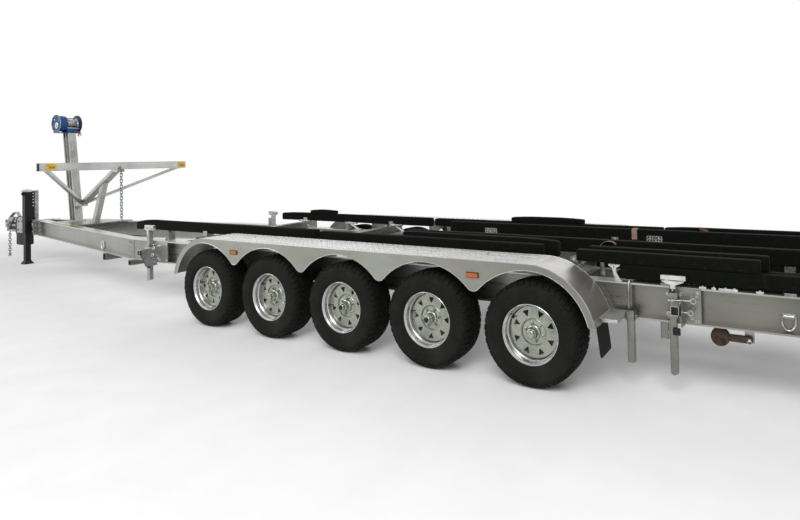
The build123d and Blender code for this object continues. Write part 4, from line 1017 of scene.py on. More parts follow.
def addFlaps():
    rubber, steel = bmesh.new(), bmesh.new()
    look = flapSet
    inner, outer, top, bottom, wall = pick(look, "inner outer top bottom wall")
    lean = math.atan(look["slope"])
    wide = (outer - inner) / 2
    outline = boxLoop(-wide, 0, wide, (top - bottom) / math.cos(lean), look["corner"])
    for hand in (-1, 1):
        # sheet with rounded corners, leaning back from the fender's edge
        y = hand * (inner + outer) / 2
        foot = Vector((look["edgeX"] + look["slope"] * (bottom - fenderSet["foot"]) - wall / 2, y, bottom))
        addSheet(rubber, outline, wall * 0.9,
                 Matrix.Translation(foot) @ Matrix.Rotation(lean, 4, "Y") @ layYZ)
        # clamping strip with bolts near the top
        x = look["edgeX"] - wall + 0.0004
        reach = wide * look["stripShare"]
        addBlock(steel, (x - look["stripThick"], y - reach, look["stripLow"]),
                 (x, y + reach, look["stripHigh"]), 0.001)
        for k in look["boltShares"]:
            place = (x - look["stripThick"], y + k * wide, (look["stripLow"] + look["stripHigh"]) / 2)
            addBolt(steel, place, (-1, 0, 0), look["bolt"])
    makePiece("rubberFlaps", rubber, sheetRubber, ("mudflaps",))
    makePiece("flapStrips", steel, zinc)


addFenderTrims()
addSideLamps()
addFlaps()
print("fender trims, lamps and flaps done")


postSet = {
    "size": 0.05, "wall": 0.004, "y": 0.901, "beam": 0.866, "plate": 0.01, "corner": 0.007,
    "boreCorner": 0.004,
    # station, foot, top of the pad, reach of the plate behind the post, how far the stub stands back
    "posts": ((1.304, 0.275, 0.932, 0.3, 0.06), (-4.762, 0.15, 0.83, 0.178, 0.036)), "tip": 0.012,
    "padReach": 0.085, "padHalf": 0.017, "padHigh": 0.034, "neck": 0.036, "cheek": 0.004,
    "pinDrops": (0.026, 0.008), "pin": 0.005, "plugInset": 0.006, "dropPost": (-4.466, 0.192, 0.56),
}
plateFace = postSet["beam"] + postSet["plate"]
grip = postSet["size"] / 2 + 0.0005
sleeve = grip + 0.0065


def addTube(bm, x, y, low, high, size, wall):
    # upright square tube with rounded corners, open at both ends
    half, bore = size / 2, size / 2 - wall
    outline = boxLoop(-half, -half, half, half, postSet["corner"])
    hole = boxLoop(-bore, -bore, bore, bore, postSet["boreCorner"])
    addSheet(bm, outline, high - low, Matrix.Translation((x, y, (low + high) / 2)), [hole])


def addPlug(bm, x, y, low, high, half, soft):
    addBlock(bm, (x - half, y - half, low), (x + half, y + half, high), soft)


def addGuidePosts():
    tubes, pads, knobs = bmesh.new(), bmesh.new(), bmesh.new()
    look = postSet
    size, wall, half, tip = look["size"], look["wall"], look["size"] / 2, look["tip"]
    for hand in (-1, 1):
        y = hand * look["y"]
        for x, low, high, _, _ in look["posts"]:
            under = high - look["padHigh"]
            neckZ = under - look["neck"]
            addTube(tubes, x, y, low + tip, neckZ, size, wall)
            # foot cut to a blunt point
            foot = [(-half, tip + 0.001), (half, tip + 0.001), (half, tip), (0.006, 0), (-0.002, 0),
                    (-half, tip)]
            addSideSheet(tubes, [(x + a, low + b) for a, b in foot], size * 0.94, y)
            # pad bar with rounded ends on two tapered cheeks that grip the post's head
            reach, padHalf = look["padReach"], look["padHalf"]
            addBlock(pads, (x - reach, y - padHalf, under), (x + reach, y + padHalf, high), 0.007, 3)
            wing, throat = reach * 0.86, size * 0.3
            side = [(wing, under - 0.001), (wing, under - 0.007), (throat, neckZ + 0.006),
                    (throat, neckZ - 0.04)]
            outline = [(x + a, b) for a, b in side] + [(x - a, b) for a, b in reversed(side)]
            for cheek in (-1, 1):
                addSideSheet(pads, outline, look["cheek"], y + cheek * (half + 0.0022))
            for drop in look["pinDrops"]:
                addRod(pads, (x, y - half - 0.01, neckZ - drop), (x, y + half + 0.01, neckZ - drop),
                       look["pin"], 10)
            addPlug(knobs, x, y, neckZ - 0.03, neckZ - 0.004, half - look["plugInset"], 0.002)
        x, low, high = look["dropPost"]
        addTube(tubes, x, y, low + 0.004, high, size, wall)
        addPlug(tubes, x, y, low, low + tip, half - 0.001, 0.004)
    makePiece("guidePostTubes", tubes, greenZinc, ("guide_posts",))
    makePiece("guidePadBars", pads, paleZinc)
    makePiece("guidePostPlugs", knobs, blackPlastic)


clampSet = {
    "low": 0.5, "high": 0.74, "corner": 0.01, "plate": 0.0098, "plateBolt": (0.0085, 0.006, 0.008),
    # bolts as (x from the post, height), the edge's bolts as heights
    "bolts": ((-0.118, 0.684), (-0.148, 0.69), (-0.15, 0.523), (-0.09, 0.574), (-0.042, 0.69),
              (-0.118, 0.54)), "edgeBolts": (0.716, 0.524), "edgeInset": 0.022, "strapZs": (0.54, 0.68),
    "strapHigh": 0.036, "tab": 0.022, "tabThick": 0.006, "strapBolt": (0.008, 0.006, 0.01),
    # clamping screws as (height, reach behind the post)
    "screws": ((0.664, 0.118), (0.583, 0.098)), "screw": 0.0058, "screwRise": 0.008, "ring": 0.017,
    "ringWire": 0.0046, "stubEnd": 1.07, "stubZ": 0.629, "stubHalf": 0.027, "stubHalfHigh": 0.031,
    "stubWall": 0.004, "frontFoot": (1.005, 0.462), "rearFoot": (0.985, 0.502), "gussetTop": 0.68,
    "gusset": 0.0096, "gussetHoles": ((0.91, 0.655), (0.96, 0.645), (0.91, 0.5), (0.95, 0.52)),
    "gussetHole": 0.007, "stop": (-0.048, 0.002, 0.43, 0.478, 0.018),
    "headStop": (-0.02, 0.022, 0.717, 0.742, 0.005), "dropLow": 0.491, "dropHigh": 0.552,
    "dropBolt": (0.007, 0.005, 0.004), "hanger": (-4.685, 0.058, 0.365, 0.491), "hangerY": 0.807,
    "hangerWall": 0.005,
}


def addFold(bm, hand, x, inner, low, high, proud=0.0):
    # strip folded round a post from the beam's side outwards
    y = postSet["y"]
    for leg in (-1, 1):
        addBlock(bm, (x + leg * grip, hand * inner, low), (x + leg * sleeve, hand * (y + sleeve), high),
                 0.002)
    addBlock(bm, (x - sleeve, hand * (y + grip), low), (x + sleeve, hand * (y + sleeve + proud), high), 0.002)


def addPlate(steel, bright, hand, x, behind):
    # backing plate with its bolts, and two straps folded round the post
    look = clampSet
    outline = boxLoop(x - behind, look["low"], x + sleeve, look["high"], look["corner"])
    addSideSheet(steel, outline, look["plate"], hand * (postSet["beam"] + postSet["plate"] / 2))
    places = [(x + a, b) for a, b in look["bolts"]]
    places += [(x - behind + look["edgeInset"], b) for b in look["edgeBolts"]]
    for boltX, boltZ in places:
        addBolt(bright, (boltX, hand * plateFace, boltZ), (0, hand, 0), look["plateBolt"])
    for low in look["strapZs"]:
        high, face = low + look["strapHigh"], plateFace + look["tabThick"]
        addFold(steel, hand, x, plateFace, low, high, 0.001)
        for leg in (-1, 1):
            start, end = x + leg * sleeve, x + leg * (sleeve + look["tab"])
            addBlock(steel, (start, hand * plateFace, low), (end, hand * face, high), 0.002)
            addBolt(bright, ((start + end) / 2, hand * face, (low + high) / 2), (0, hand, 0),
                    look["strapBolt"])


def addScrews(bright, hand, x):
    # clamping screws with ring handles
    look = clampSet
    y = hand * (postSet["y"] + sleeve + 0.006)
    for z, reach in look["screws"]:
        end, radius = z + look["screwRise"], look["ring"]
        addRod(bright, (x + 0.033, y, z), (x - reach, y, end), look["screw"], 10)
        ring = [(a, y, b) for a, b in ringOf(radius, 16, x - reach - radius, end)]
        addRun(bright, ring, look["ringWire"], 8, closed=True)
        addRod(bright, (x, y - hand * 0.012, z + 0.003), (x, y + hand * 0.008, z + 0.003), 0.0095, 6)


def addOutrigger(steel, bright, black, hand, x, back):
    # outrigger tube, open at its end, on a gusset with an edge strip
    look = clampSet
    end, stubZ, half, high, wall = pick(look, "stubEnd stubZ stubHalf stubHalfHigh stubWall")
    stubX, tip = x - back, end - 0.008
    place = Matrix.Translation((stubX, hand * (plateFace + end) / 2, stubZ)) @ layXZ
    hole = boxLoop(wall - half, wall - high, half - wall, high - wall, 0.003)
    addSheet(bright, boxLoop(-half, -high, half, high, 0.005), end - plateFace, place, [hole])
    # painted shade: a black block fills the open tube's bore, standing in for the shade inside it
    addBlock(black, (stubX - 0.0228, hand * plateFace, stubZ - 0.0268),
             (stubX + 0.0228, hand * (end - 0.012), stubZ + 0.0268), 0.001)
    footY, footZ = look["frontFoot"] if x > 0 else look["rearFoot"]
    gussetX = stubX - half - 0.005
    outline = [(plateFace, look["gussetTop"]), (tip, stubZ + high), (tip, stubZ - high), (footY, footZ),
               (plateFace, footZ)]
    holes = [ringOf(look["gussetHole"], 14, hand * a, b) for a, b in look["gussetHoles"]]
    addCrossSheet(steel, [(hand * a, b) for a, b in outline], look["gusset"], gussetX, holes)
    if x > 0:
        edge = ((gussetX, tip - 0.002, stubZ - high), (gussetX, footY - 0.002, footZ + 0.004))
        addRun(black, sideways(hand, edge), 0.0052, 8)
    addBlock(black, (gussetX - 0.007, hand * (tip - 0.004), stubZ - high),
             (gussetX + 0.007, hand * (tip + 0.006), stubZ + high), 0.003)


def addStop(bm, hand, x, size, soft):
    # black block on the post's outer face; size is how far behind and ahead, foot, top, thickness
    behind, ahead, low, high, thick = size
    y = postSet["y"] + grip
    addBlock(bm, (x + behind, hand * y, low), (x + ahead, hand * (y + thick), high), soft)


def addClamps():
    steel, bright, black = bmesh.new(), bmesh.new(), bmesh.new()
    look = clampSet
    for hand in (-1, 1):
        for x, low, high, behind, back in postSet["posts"]:
            addPlate(steel, bright, hand, x, behind)
            addScrews(bright, hand, x)
            addOutrigger(steel, bright, black, hand, x, back)
            addStop(black, hand, x, look["stop"], 0.004)
            if x < 0:
                addStop(black, hand, x, look["headStop"], 0.002)
        # sleeve of the drop post
        x = postSet["dropPost"][0]
        addFold(steel, hand, x, postSet["beam"], look["dropLow"], look["dropHigh"])
        for leg in (-1, 1):
            addBolt(bright, (x + leg * sleeve, hand * postSet["y"], 0.522), (leg, 0, 0), look["dropBolt"])
        # hanger under the beam, with a loop of wire
        x, size, low, high = look["hanger"]
        y = hand * look["hangerY"]
        addTube(steel, x, y, low, high, size, look["hangerWall"])
        addPlug(steel, x, y, low, low + 0.01, size / 2 - 0.001, 0.004)
        turns = [2 * math.pi * n / 18 for n in range(18)]
        wire = [(x - size / 2 - 0.03 + 0.032 * math.cos(a), y + hand * 0.03,
                 low + 0.045 + 0.036 * math.sin(a)) for a in turns]
        addRun(bright, wire, 0.0028, 6, closed=True)
    makePiece("postClampPlates", steel, greenZinc, ("post_clamps",))
    makePiece("postClampFasteners", bright, boltZinc)
    makePiece("postClampRubbersAndBoreShade", black, blackPlastic)


beamSet = {
    "clipY": 0.848, "clipOuter": 0.864, "clipLow": 0.745, "clipTop": 0.7595,
    "clipBolt": (0.006, 0.004, 0.0),
    # bunk clips on the beam's top as (x, length)
    "clips": ((-4.949, 0.046), (-5.02, 0.028), (-5.094, 0.084), (-5.15, 0.04), (-5.304, 0.046),
              (-5.7, 0.046), (-6.3, 0.046), (-6.85, 0.046)),
    "stay": ((-4.448, 0.85, 0.7535), (-4.447, 0.868, 0.7545), (-4.445, 0.8765, 0.744),
             (-4.444, 0.8765, 0.6), (-4.4435, 0.8765, 0.5)), "stayRadius": 0.0085, "kinkX": 1.79,
    "taper": 0.1822, "middleY": 0.807, "webY": 0.8115, "flangeY": 0.8655, "webWeld": 0.0032,
    "flangeWeld": 0.003, "flangeZs": ((0.491, 0.503), (0.733, 0.745)), "jointXs": (1.87, 1.93),
    "jointZs": (0.56, 0.62, 0.68), "jointBolt": (0.008, 0.005, 0.004), "reflectionPatch": (3.78, 5.02),
    "reflectionInner": -0.008, "reflectionOuter": 0.03, "reflectionZ": 0.7572, "reflectionThick": 0.0008,
}


def tongueY(x, start=beamSet["middleY"], slope=beamSet["taper"]):
    # distance from the middle of a line along the tongue beam
    return start - slope * (x - beamSet["kinkX"])


def addBeamFittings():
    pale, weld, reflectionPatch, stays = bmesh.new(), bmesh.new(), bmesh.new(), bmesh.new()
    look = beamSet
    for hand in (-1, 1):
        # clips that hold the low bunks on the beam's top
        for x, long in look["clips"]:
            addBlock(pale, (x - long / 2, hand * look["clipY"], look["clipLow"]),
                     (x + long / 2, hand * look["clipOuter"], look["clipTop"]), 0.002)
            addBolt(pale, (x, hand * (look["clipY"] + look["clipOuter"]) / 2, look["clipTop"]), (0, 0, 1),
                    look["clipBolt"])
        # round stay that hooks over the beam by the drop post
        addRun(stays, sideways(hand, look["stay"]), look["stayRadius"], 10)
        # weld beads where the tongue beam meets the main beam
        x = look["kinkX"]
        addRun(weld, [(x, hand * look["webY"], 0.505 + 0.0115 * n) for n in range(20)], look["webWeld"], 6)
        for ends in look["flangeZs"]:
            addRun(weld, [(x, hand * look["flangeY"], z) for z in ends], look["flangeWeld"], 6)
        # joint bolts through the web near the kink
        for x in look["jointXs"]:
            for z in look["jointZs"]:
                addBolt(pale, (x, hand * tongueY(x, 0.811, 0.182), z), (0.18, hand, 0), look["jointBolt"])
    # painted reflection: a thin green strip on the left tongue beam's top flange stands in for a reflection
    low, up = ([reflectionPatch.verts.new((x, tongueY(x) + side, z)) for x, side in
                zip(look["reflectionPatch"] + look["reflectionPatch"][::-1], [look["reflectionInner"]] * 2 + [look["reflectionOuter"]] * 2)]
               for z in (look["reflectionZ"], look["reflectionZ"] + look["reflectionThick"]))
    joinRings(reflectionPatch, [low, up])
    makePiece("beamClips", pale, paleZinc)
    makePiece("postStays", stays, postMetal)
    makePiece("weldBeads", weld, aluminium)
    makePiece("paintedReflectionStrip", reflectionPatch, greenReflectionPaint, (), 0)


ringSet = {
    "rear": -5.467, "front": 2.855, "y": 0.811, "z": 0.606, "wide": 0.092, "long": 0.116, "wire": 0.0078,
    "frontTurn": math.atan2(-0.747, 4.1), "saddle": 0.037, "saddleHigh": 0.016,
    "bolt": (0.005, 0.004, 0.002),
}


def addTieRings():
    bright = bmesh.new()
    look = ringSet
    for hand in (-1, 1):
        frontY = tongueY(look["front"], look["y"])
        for x, y, turn in ((look["rear"], look["y"], 0.0), (look["front"], frontY, hand * look["frontTurn"])):
            place = Matrix.Translation((x, hand * (y + 0.001), look["z"])) @ Matrix.Rotation(turn, 4, "Z")
            before = len(bright.verts)
            # folded saddle with two bolts, and the ring that hangs through it
            long, high = look["saddle"], look["saddleHigh"]
            addBlock(bright, (-long, 0, -high), (long, hand * 0.004, high), 0.0015)
            addRod(bright, (-0.03, hand * 0.011, 0.0), (0.03, hand * 0.011, 0.0), 0.0105, 14)
            for k in (-1, 1):
                addBolt(bright, (k * 0.0335, hand * 0.004, 0.0), (0, hand, 0), look["bolt"], washer=0)
            wide, drop = look["wide"] / 2 - 0.006, look["long"] - 0.024
            bend = [(wide * math.cos(a), drop * (0.35 + 0.65 * math.sin(a)))
                    for a in (math.pi * n / 12 for n in range(13))]
            loop = [(-wide, 0.0)] + [(-a, -b) for a, b in bend] + [(wide, 0.0)]
            addRun(bright, [(a, hand * 0.012, b) for a, b in loop], look["wire"], 10, closed=True)
            bmesh.ops.transform(bright, matrix=place, verts=corners(bright, before))
    makePiece("tieRingSet", bright, boltZinc, ("tie_rings",))


addGuidePosts()
addClamps()
addBeamFittings()
addTieRings()
print("posts, clamps and beam fittings done")


winchSet = {
    "x": 5.0597, "z": 2.349, "left": 0.189, "caseRight": 0.068, "rightIn": -0.102, "rightOut": -0.126,
    "base": 2.196,
    # turned sections as (radius, y) corners
    "case": ((0.02, 0.183), (0.085, 0.183), (0.092, 0.1865), (0.128, 0.1865), (0.133, 0.1885),
             (0.1425, 0.1885), (0.145, 0.186), (0.145, 0.179), (0.143, 0.1765), (0.128, 0.175),
             (0.128, 0.098), (0.1235, 0.094), (0.1235, 0.072), (0.118, 0.0685), (0.04, 0.0685)),
    "rightPlate": ((0.018, -0.102), (0.138, -0.102), (0.145, -0.105), (0.145, -0.123), (0.14, -0.126),
                   (0.07, -0.126), (0.062, -0.12), (0.018, -0.12)),
    "edgeRing": ((0.14, 0.1888), (0.1435, 0.1888), (0.1449, 0.1872), (0.1449, 0.1835), (0.143, 0.183)),
    "bossRing": ((0.051, 0.1885), (0.052, 0.1945), (0.048, 0.1975), (0.034, 0.1985), (0.03, 0.195),
                 (0.02, 0.1945)), "boss": (-0.03, -0.034),
    "bossRods": ((0.19, 0.208, 0.0245, 6), (0.208, 0.214, 0.0105, 14)),
    "feet": ((-0.125, -0.103), (0.176, 0.186)), "footReach": 0.082, "footTop": -0.09,
    "guards": (-0.084, 0.08), "guardHigh": 0.078, "tie": (0.06, 0.084, 0.092, 0.104),
    "shaft": (-0.09, -0.07, 0.007), "caseBolt": (0.011, 0.006, 0.003), "ringBolts": 6,
    "ringBoltRadius": 0.108, "leftBolt": (0.0065, 0.0016, 0.0), "rightBolt": (0.008, 0.005, 0.003),
    "baseBolt": (0.009, 0.006, 0.004), "baseXs": (-0.075, 0.075), "baseYs": (-0.085, 0.04, 0.14),
}


def addWinch():
    look = winchSet
    x, z, base, rightIn, caseRight = pick(look, "x z base rightIn caseRight")
    blue, dark, bright = bmesh.new(), bmesh.new(), bmesh.new()
    centre = (x, 0, z)
    # left disc and gear case in one, its bright edge, and the right side plate, darker with painted shade
    addLathe(blue, look["case"], centre, 56)
    addLathe(bright, look["edgeRing"], centre, 56)
    addLathe(dark, look["rightPlate"], centre, 56)
    addRod(blue, (x, 0.176, z), (x, 0.1868, z), 0.022, 24)
    # base plate with folded feet, the drum guards, the tie bar and the guide shaft
    addBlock(blue, (x - 0.095, look["rightOut"], base), (x + 0.095, look["left"], base + 0.008), 0.003)
    reach = look["footReach"]
    # painted shade: the right foot takes the darker, shaded blue
    for bm, (y0, y1) in zip((dark, blue), look["feet"]):
        addBlock(bm, (x - reach, y0, base + 0.004), (x + reach, y1, z + look["footTop"]), 0.003)
    for guard in look["guards"]:
        addBlock(blue, (x + guard, rightIn - 0.002, base + 0.004),
                 (x + guard + 0.004, caseRight + 0.004, base + look["guardHigh"]), 0.0015)
    ahead, behind, low, high = look["tie"]
    addBlock(blue, (x + ahead, rightIn - 0.004, z + low), (x + behind, caseRight + 0.004, z + high), 0.003)
    shaftX, shaftZ, radius = look["shaft"]
    addRod(bright, (x + shaftX, rightIn - 0.004, z + shaftZ), (x + shaftX, caseRight + 0.004, z + shaftZ),
           radius, 12)
    # crank boss: bright ring and nut, and the small bolt above it
    bossX, bossZ = x + look["boss"][0], z + look["boss"][1]
    addLathe(bright, look["bossRing"], (bossX, 0, bossZ), 32)
    for start, end, radius, sides in look["bossRods"]:
        addRod(bright, (bossX, start, bossZ), (bossX, end, bossZ), radius, sides)
    addBolt(bright, (x + 0.045, 0.1835, z + 0.06), (0, 1, 0), look["caseBolt"])
    for a, b in ringOf(look["ringBoltRadius"], 2 * look["ringBolts"], x, z)[1::2]:
        addBolt(bright, (a, 0.1865, b), (0, 1, 0), look["leftBolt"], washer=0)
        addBolt(bright, (a, look["rightOut"], b), (0, -1, 0), look["rightBolt"])
    for a in look["baseXs"]:
        for y in look["baseYs"]:
            addBolt(bright, (x + a, y, base + 0.008), (0, 0, 1), look["baseBolt"])
    makePiece("winchCase", blue, bluePaint, ("winch_frame",))
    makePiece("winchRightPlate", dark, shadedBluePaint)
    makePiece("winchFasteners", bright, paleZinc)


spoolSet = {
    "section": ((0.017, 0.061), (0.095, 0.061), (0.098, 0.058), (0.095, 0.055), (0.07, 0.054),
                (0.07, -0.088), (0.095, -0.089), (0.098, -0.092), (0.095, -0.095), (0.017, -0.095)),
    "shaft": (-0.121, 0.111, 0.0158), "turns": 17, "steps": 16, "first": 0.049, "width": 0.132,
    "coil": 0.0745, "wire": 0.004,
}


def addSpool():
    # wire wound on the drum between bright cheeks, with the clamp of its end
    look = spoolSet
    x, z = winchSet["x"], winchSet["z"]
    spool, wire = bmesh.new(), bmesh.new()
    addLathe(spool, look["section"], (x, 0, z), 48)
    start, end, radius = look["shaft"]
    addRod(spool, (x, start, z), (x, end, z), radius, 20)
    addBlock(spool, (x - 0.017, 0.01, z + 0.074), (x + 0.017, 0.036, z + 0.084), 0.003)
    coil, steps = look["coil"], look["steps"]
    count = look["turns"] * steps
    addRun(wire, [(x + coil * math.cos(2 * math.pi * n / steps), look["first"] - look["width"] * n / count,
                   z + coil * math.sin(2 * math.pi * n / steps)) for n in range(count + 1)], look["wire"], 6)
    makePiece("drumSpool", spool, paleZinc, ("winch_drum",), body="winch_spool")
    makePiece("drumWire", wire, zinc, body="winch_spool")


knotSet = {
    # folds as (start y, start z), (end y, end z), lean
    "folds": (((-0.126, 2.213), (-0.082, 2.206), 0.006), ((-0.118, 2.206), (-0.094, 2.176), 0.0),
              ((-0.1, 2.2), (-0.08, 2.15), -0.004), ((-0.112, 2.19), (-0.132, 2.16), 0.004)), "x": -0.098,
    "wide": 0.016, "thick": 0.0028, "sway": 0.004, "arch": 0.01, "hookY": -0.1, "hookZ": 2.146,
    "hookWide": 0.011, "hookHigh": 0.018, "hookWire": 0.0032,
}


def addStrapEnd():
    # end of the strap: a folded webbing knot with its snap hook
    look = knotSet
    webbing, hook = bmesh.new(), bmesh.new()
    x = winchSet["x"] + look["x"]
    for (y0, z0), (y1, z1), lean in look["folds"]:
        run = [(x + lean + look["sway"] * math.sin(3.1 * t), y0 + (y1 - y0) * t,
                z0 + (z1 - z0) * t + look["arch"] * math.sin(math.pi * t)) for t in (k / 8 for k in range(9))]
        addStrap(webbing, run, look["wide"], look["thick"], (1, 0, 0))
    hookX, y, z = x - 0.002, look["hookY"], look["hookZ"]
    eye = [(hookX, y + look["hookWide"] * a, z + look["hookHigh"] * b) for a, b in ringOf(1, 16)]
    addRun(hook, eye, look["hookWire"], 8, closed=True)
    addRod(hook, (hookX, y, z + 0.02), (hookX, y, z + 0.032), 0.005, 12)
    makePiece("webbingKnot", webbing, redWebbing, ("hook_strap",))
    makePiece("snapHook", hook, paleZinc)


bowSet = {
    "x": 3.625, "z": 1.645, "reach": 1.041, "wide": 0.075, "high": 0.112, "face": 3.5875,
    "markers": (0.903, -0.969), "markerLong": 0.065, "markerHigh": 0.044, "markerThick": 0.006,
    "markerShape": ((-1, -0.5), (-0.7, -1), (0.7, -1), (1, -0.5), (1, 0.5), (0.7, 1), (-0.7, 1), (-1, 0.5)),
    "lensShare": (0.55, 0.3), "lensShift": (-0.004, -0.006), "lensThick": 0.002,
    "lugBolts": (-0.96, -0.915, 0.915, 0.96), "lugBolt": (0.01, 0.006, 0.008),
    "socketBolts": ((4.635, 1.018), (4.69, 1.04), (4.7, 1.012)), "socketBolt": (0.011, 0.007, 0.006),
    "armBolt": (0.01, 0.006, 0.006), "footZ": 0.757,
    # foot plates of the prop and the winch post: x span, y span, top, the bolts' xs, y and size
    "feet": (((4.225, 4.345), (0.038, 0.07), 0.764, (4.24, 4.33), 0.057, (0.01, 0.007, 0.006)),
             ((4.74, 4.93), (0.052, 0.1), 0.765, (4.765, 4.835, 4.905), 0.078, (0.012, 0.008, 0.008))),
    # ribs along the winch post, as distances from its middle line
    "ribs": ((-0.0925, -0.068), (-0.014, -0.006), (0.006, 0.014), (0.068, 0.0925)), "ribX": 4.848,
    "ribTop": 2.193, "ribSide": 0.0518, "lean": 0.14588,
}


def addMarker(plates, lenses, bright, middle):
    # yellow plate with cut corners, its amber lens and two screws
    look = bowSet
    z, face, long, high = look["z"], look["face"], look["markerLong"], look["markerHigh"]
    outline = roundedLoop([(middle + long * a, z + high * b) for a, b in look["markerShape"]], 0.008)
    addCrossSheet(plates, outline, look["markerThick"], face - 0.003)
    (wideShare, highShare), (shiftY, shiftZ) = look["lensShare"], look["lensShift"]
    lens = [(middle + (a - middle) * wideShare + shiftY, z + (b - z) * highShare + shiftZ)
            for a, b in outline]
    addCrossSheet(lenses, lens, look["lensThick"], face - 0.0068)
    for k in (-0.86, 0.86):
        addRod(bright, (face - 0.006, middle + k * long, z), (face - 0.0078, middle + k * long, z), 0.004, 10)


def addBowFittings():
    look = bowSet
    black, yellow, bright, amber, ribs = (bmesh.new() for _ in range(5))
    x, z, halfWide, halfHigh = look["x"], look["z"], look["wide"] / 2, look["high"] / 2
    for middle in look["markers"]:
        addMarker(yellow, amber, bright, middle)
    # bolts of the arms' lugs under the bar
    for y in look["lugBolts"]:
        addBolt(bright, (x, y, z - halfHigh), (0, 0, -1), look["lugBolt"])
    lean = look["lean"]
    tilt = lean * (look["ribTop"] - look["footZ"])
    for hand in (-1, 1):
        # plug closes each end of the bar
        y = hand * look["reach"]
        addBlock(black, (x - halfWide + 0.003, y - hand * 0.002, z - halfHigh + 0.003),
                 (x + halfWide - 0.003, y + hand * 0.004, z + halfHigh - 0.003), 0.003)
        # socket's cross bolts, the centre arm's lug and the foot plates of the prop and the post
        for boltX, boltZ in look["socketBolts"]:
            addBolt(bright, (boltX, hand * 0.05, boltZ), (0, hand, 0), look["socketBolt"])
        addBlock(bright, (x - 0.045, hand * 0.053, z - 0.095), (x + 0.03, hand * 0.059, z - 0.04), 0.002)
        addBolt(bright, (x - 0.01, hand * 0.059, z - 0.068), (0, hand, 0), look["armBolt"])
        for (x0, x1), (inner, outer), top, boltXs, boltY, size in look["feet"]:
            addBlock(bright, (x0, hand * inner, look["footZ"]), (x1, hand * outer, top), 0.002)
            for boltX in boltXs:
                addBolt(bright, (boltX, hand * boltY, top), (0, 0, 1), size)
        # rolled edges and ribs along the winch post
        for first, last in look["ribs"]:
            ends = ((first, look["footZ"]), (last, look["footZ"]), (last + tilt, look["ribTop"]),
                    (first + tilt, look["ribTop"]))
            outline = [(look["ribX"] + a + lean * 0.012, b) for a, b in ends]
            addSideSheet(ribs, outline, 0.004, hand * look["ribSide"])
    makePiece("postRibs", ribs, barMetal)
    makePiece("barEndPlugs", black, blackPlastic)
    makePiece("barMarkerPlates", yellow, yellowPlastic, ("bar_markers",))
    makePiece("barMarkerLenses", amber, amberLens)
    makePiece("bowFrameFasteners", bright, paleZinc)


chainSet = {
    "wire": 0.0052, "pitch": 0.044, "wide": 0.044, "tow": (7.022, 0.04, 0.43), "towLinks": 9,
    "bow": (3.5655, 0.0, 1.589), "bowLinks": 18, "painted": (9, 10, 11, 13, 14, 15),
    "disc": ((0.0001, 0.034), (0.015, 0.034), (0.0185, 0.037), (0.0185, 0.043), (0.015, 0.046),
             (0.0001, 0.046)),
}


def addLink(bm, top, number):
    # one round-wire link of a hanging chain, turned a quarter against the last
    x, y, z = top
    z -= number * chainSet["pitch"]
    wire = chainSet["wire"]
    bend = (chainSet["wide"] - 2 * wire) / 2
    straight = chainSet["pitch"] / 2 + wire * 1.5 - bend
    loop = [(bend * math.cos(math.pi * k / 8) * end, end * (straight + bend * math.sin(math.pi * k / 8)))
            for end in (1, -1) for k in range(9)]
    odd = number % 2
    addRun(bm, [(x + (a if odd else 0), y + (0 if odd else a), z + b) for a, b in loop], wire, 8, closed=True)


def addChains():
    tow, bow, painted = bmesh.new(), bmesh.new(), bmesh.new()
    look = chainSet
    for n in range(look["towLinks"]):
        addLink(tow, look["tow"], n)
    # hook disc at the chain's lower end
    addLathe(tow, look["disc"], (look["tow"][0], 0, look["tow"][2] - 8 * look["pitch"]), 24)
    for n in range(look["bowLinks"]):
        addLink(painted if n in look["painted"] else bow, look["bow"], n)
    makePiece("safetyLinks", tow, greyZinc, ("safety_chain",))
    makePiece("bowLinks", bow, greyZinc, ("bow_chain",))
    makePiece("bowLinksPainted", painted, tealZinc)


jackSet = {
    "x": 6.07, "y": 0.171, "capHalf": 0.053, "capLow": 1.221, "capTop": 1.268, "coverLow": 1.2385,
    "coverTop": 1.2455, "screwXs": (-0.036, 0.036), "screwYs": (0.04, 0.225), "sleeves": 5,
    "sleeveTop": 1.195, "sleevePitch": 0.052, "sleeveX": 6.0215, "sleeveY": 0.104,
    "bolt": (0.01, 0.006, 0.006), "clampZs": (0.558, 0.578, 0.672, 0.692, 0.743), "plateXs": (5.955, 6.105),
    "plateZs": (0.56, 0.62, 0.7, 0.76),
    # bands round the tube, and the winding handle's socket
    "bands": ((1.15, 1.168), (0.56, 0.574), (0.88, 0.892)), "bandRim": 0.051, "bandBore": 0.044,
    "socket": ((0.0001, 0.2475), (0.018, 0.2475), (0.024, 0.243), (0.026, 0.219), (0.0001, 0.219)),
    "socketZ": 1.195,
}


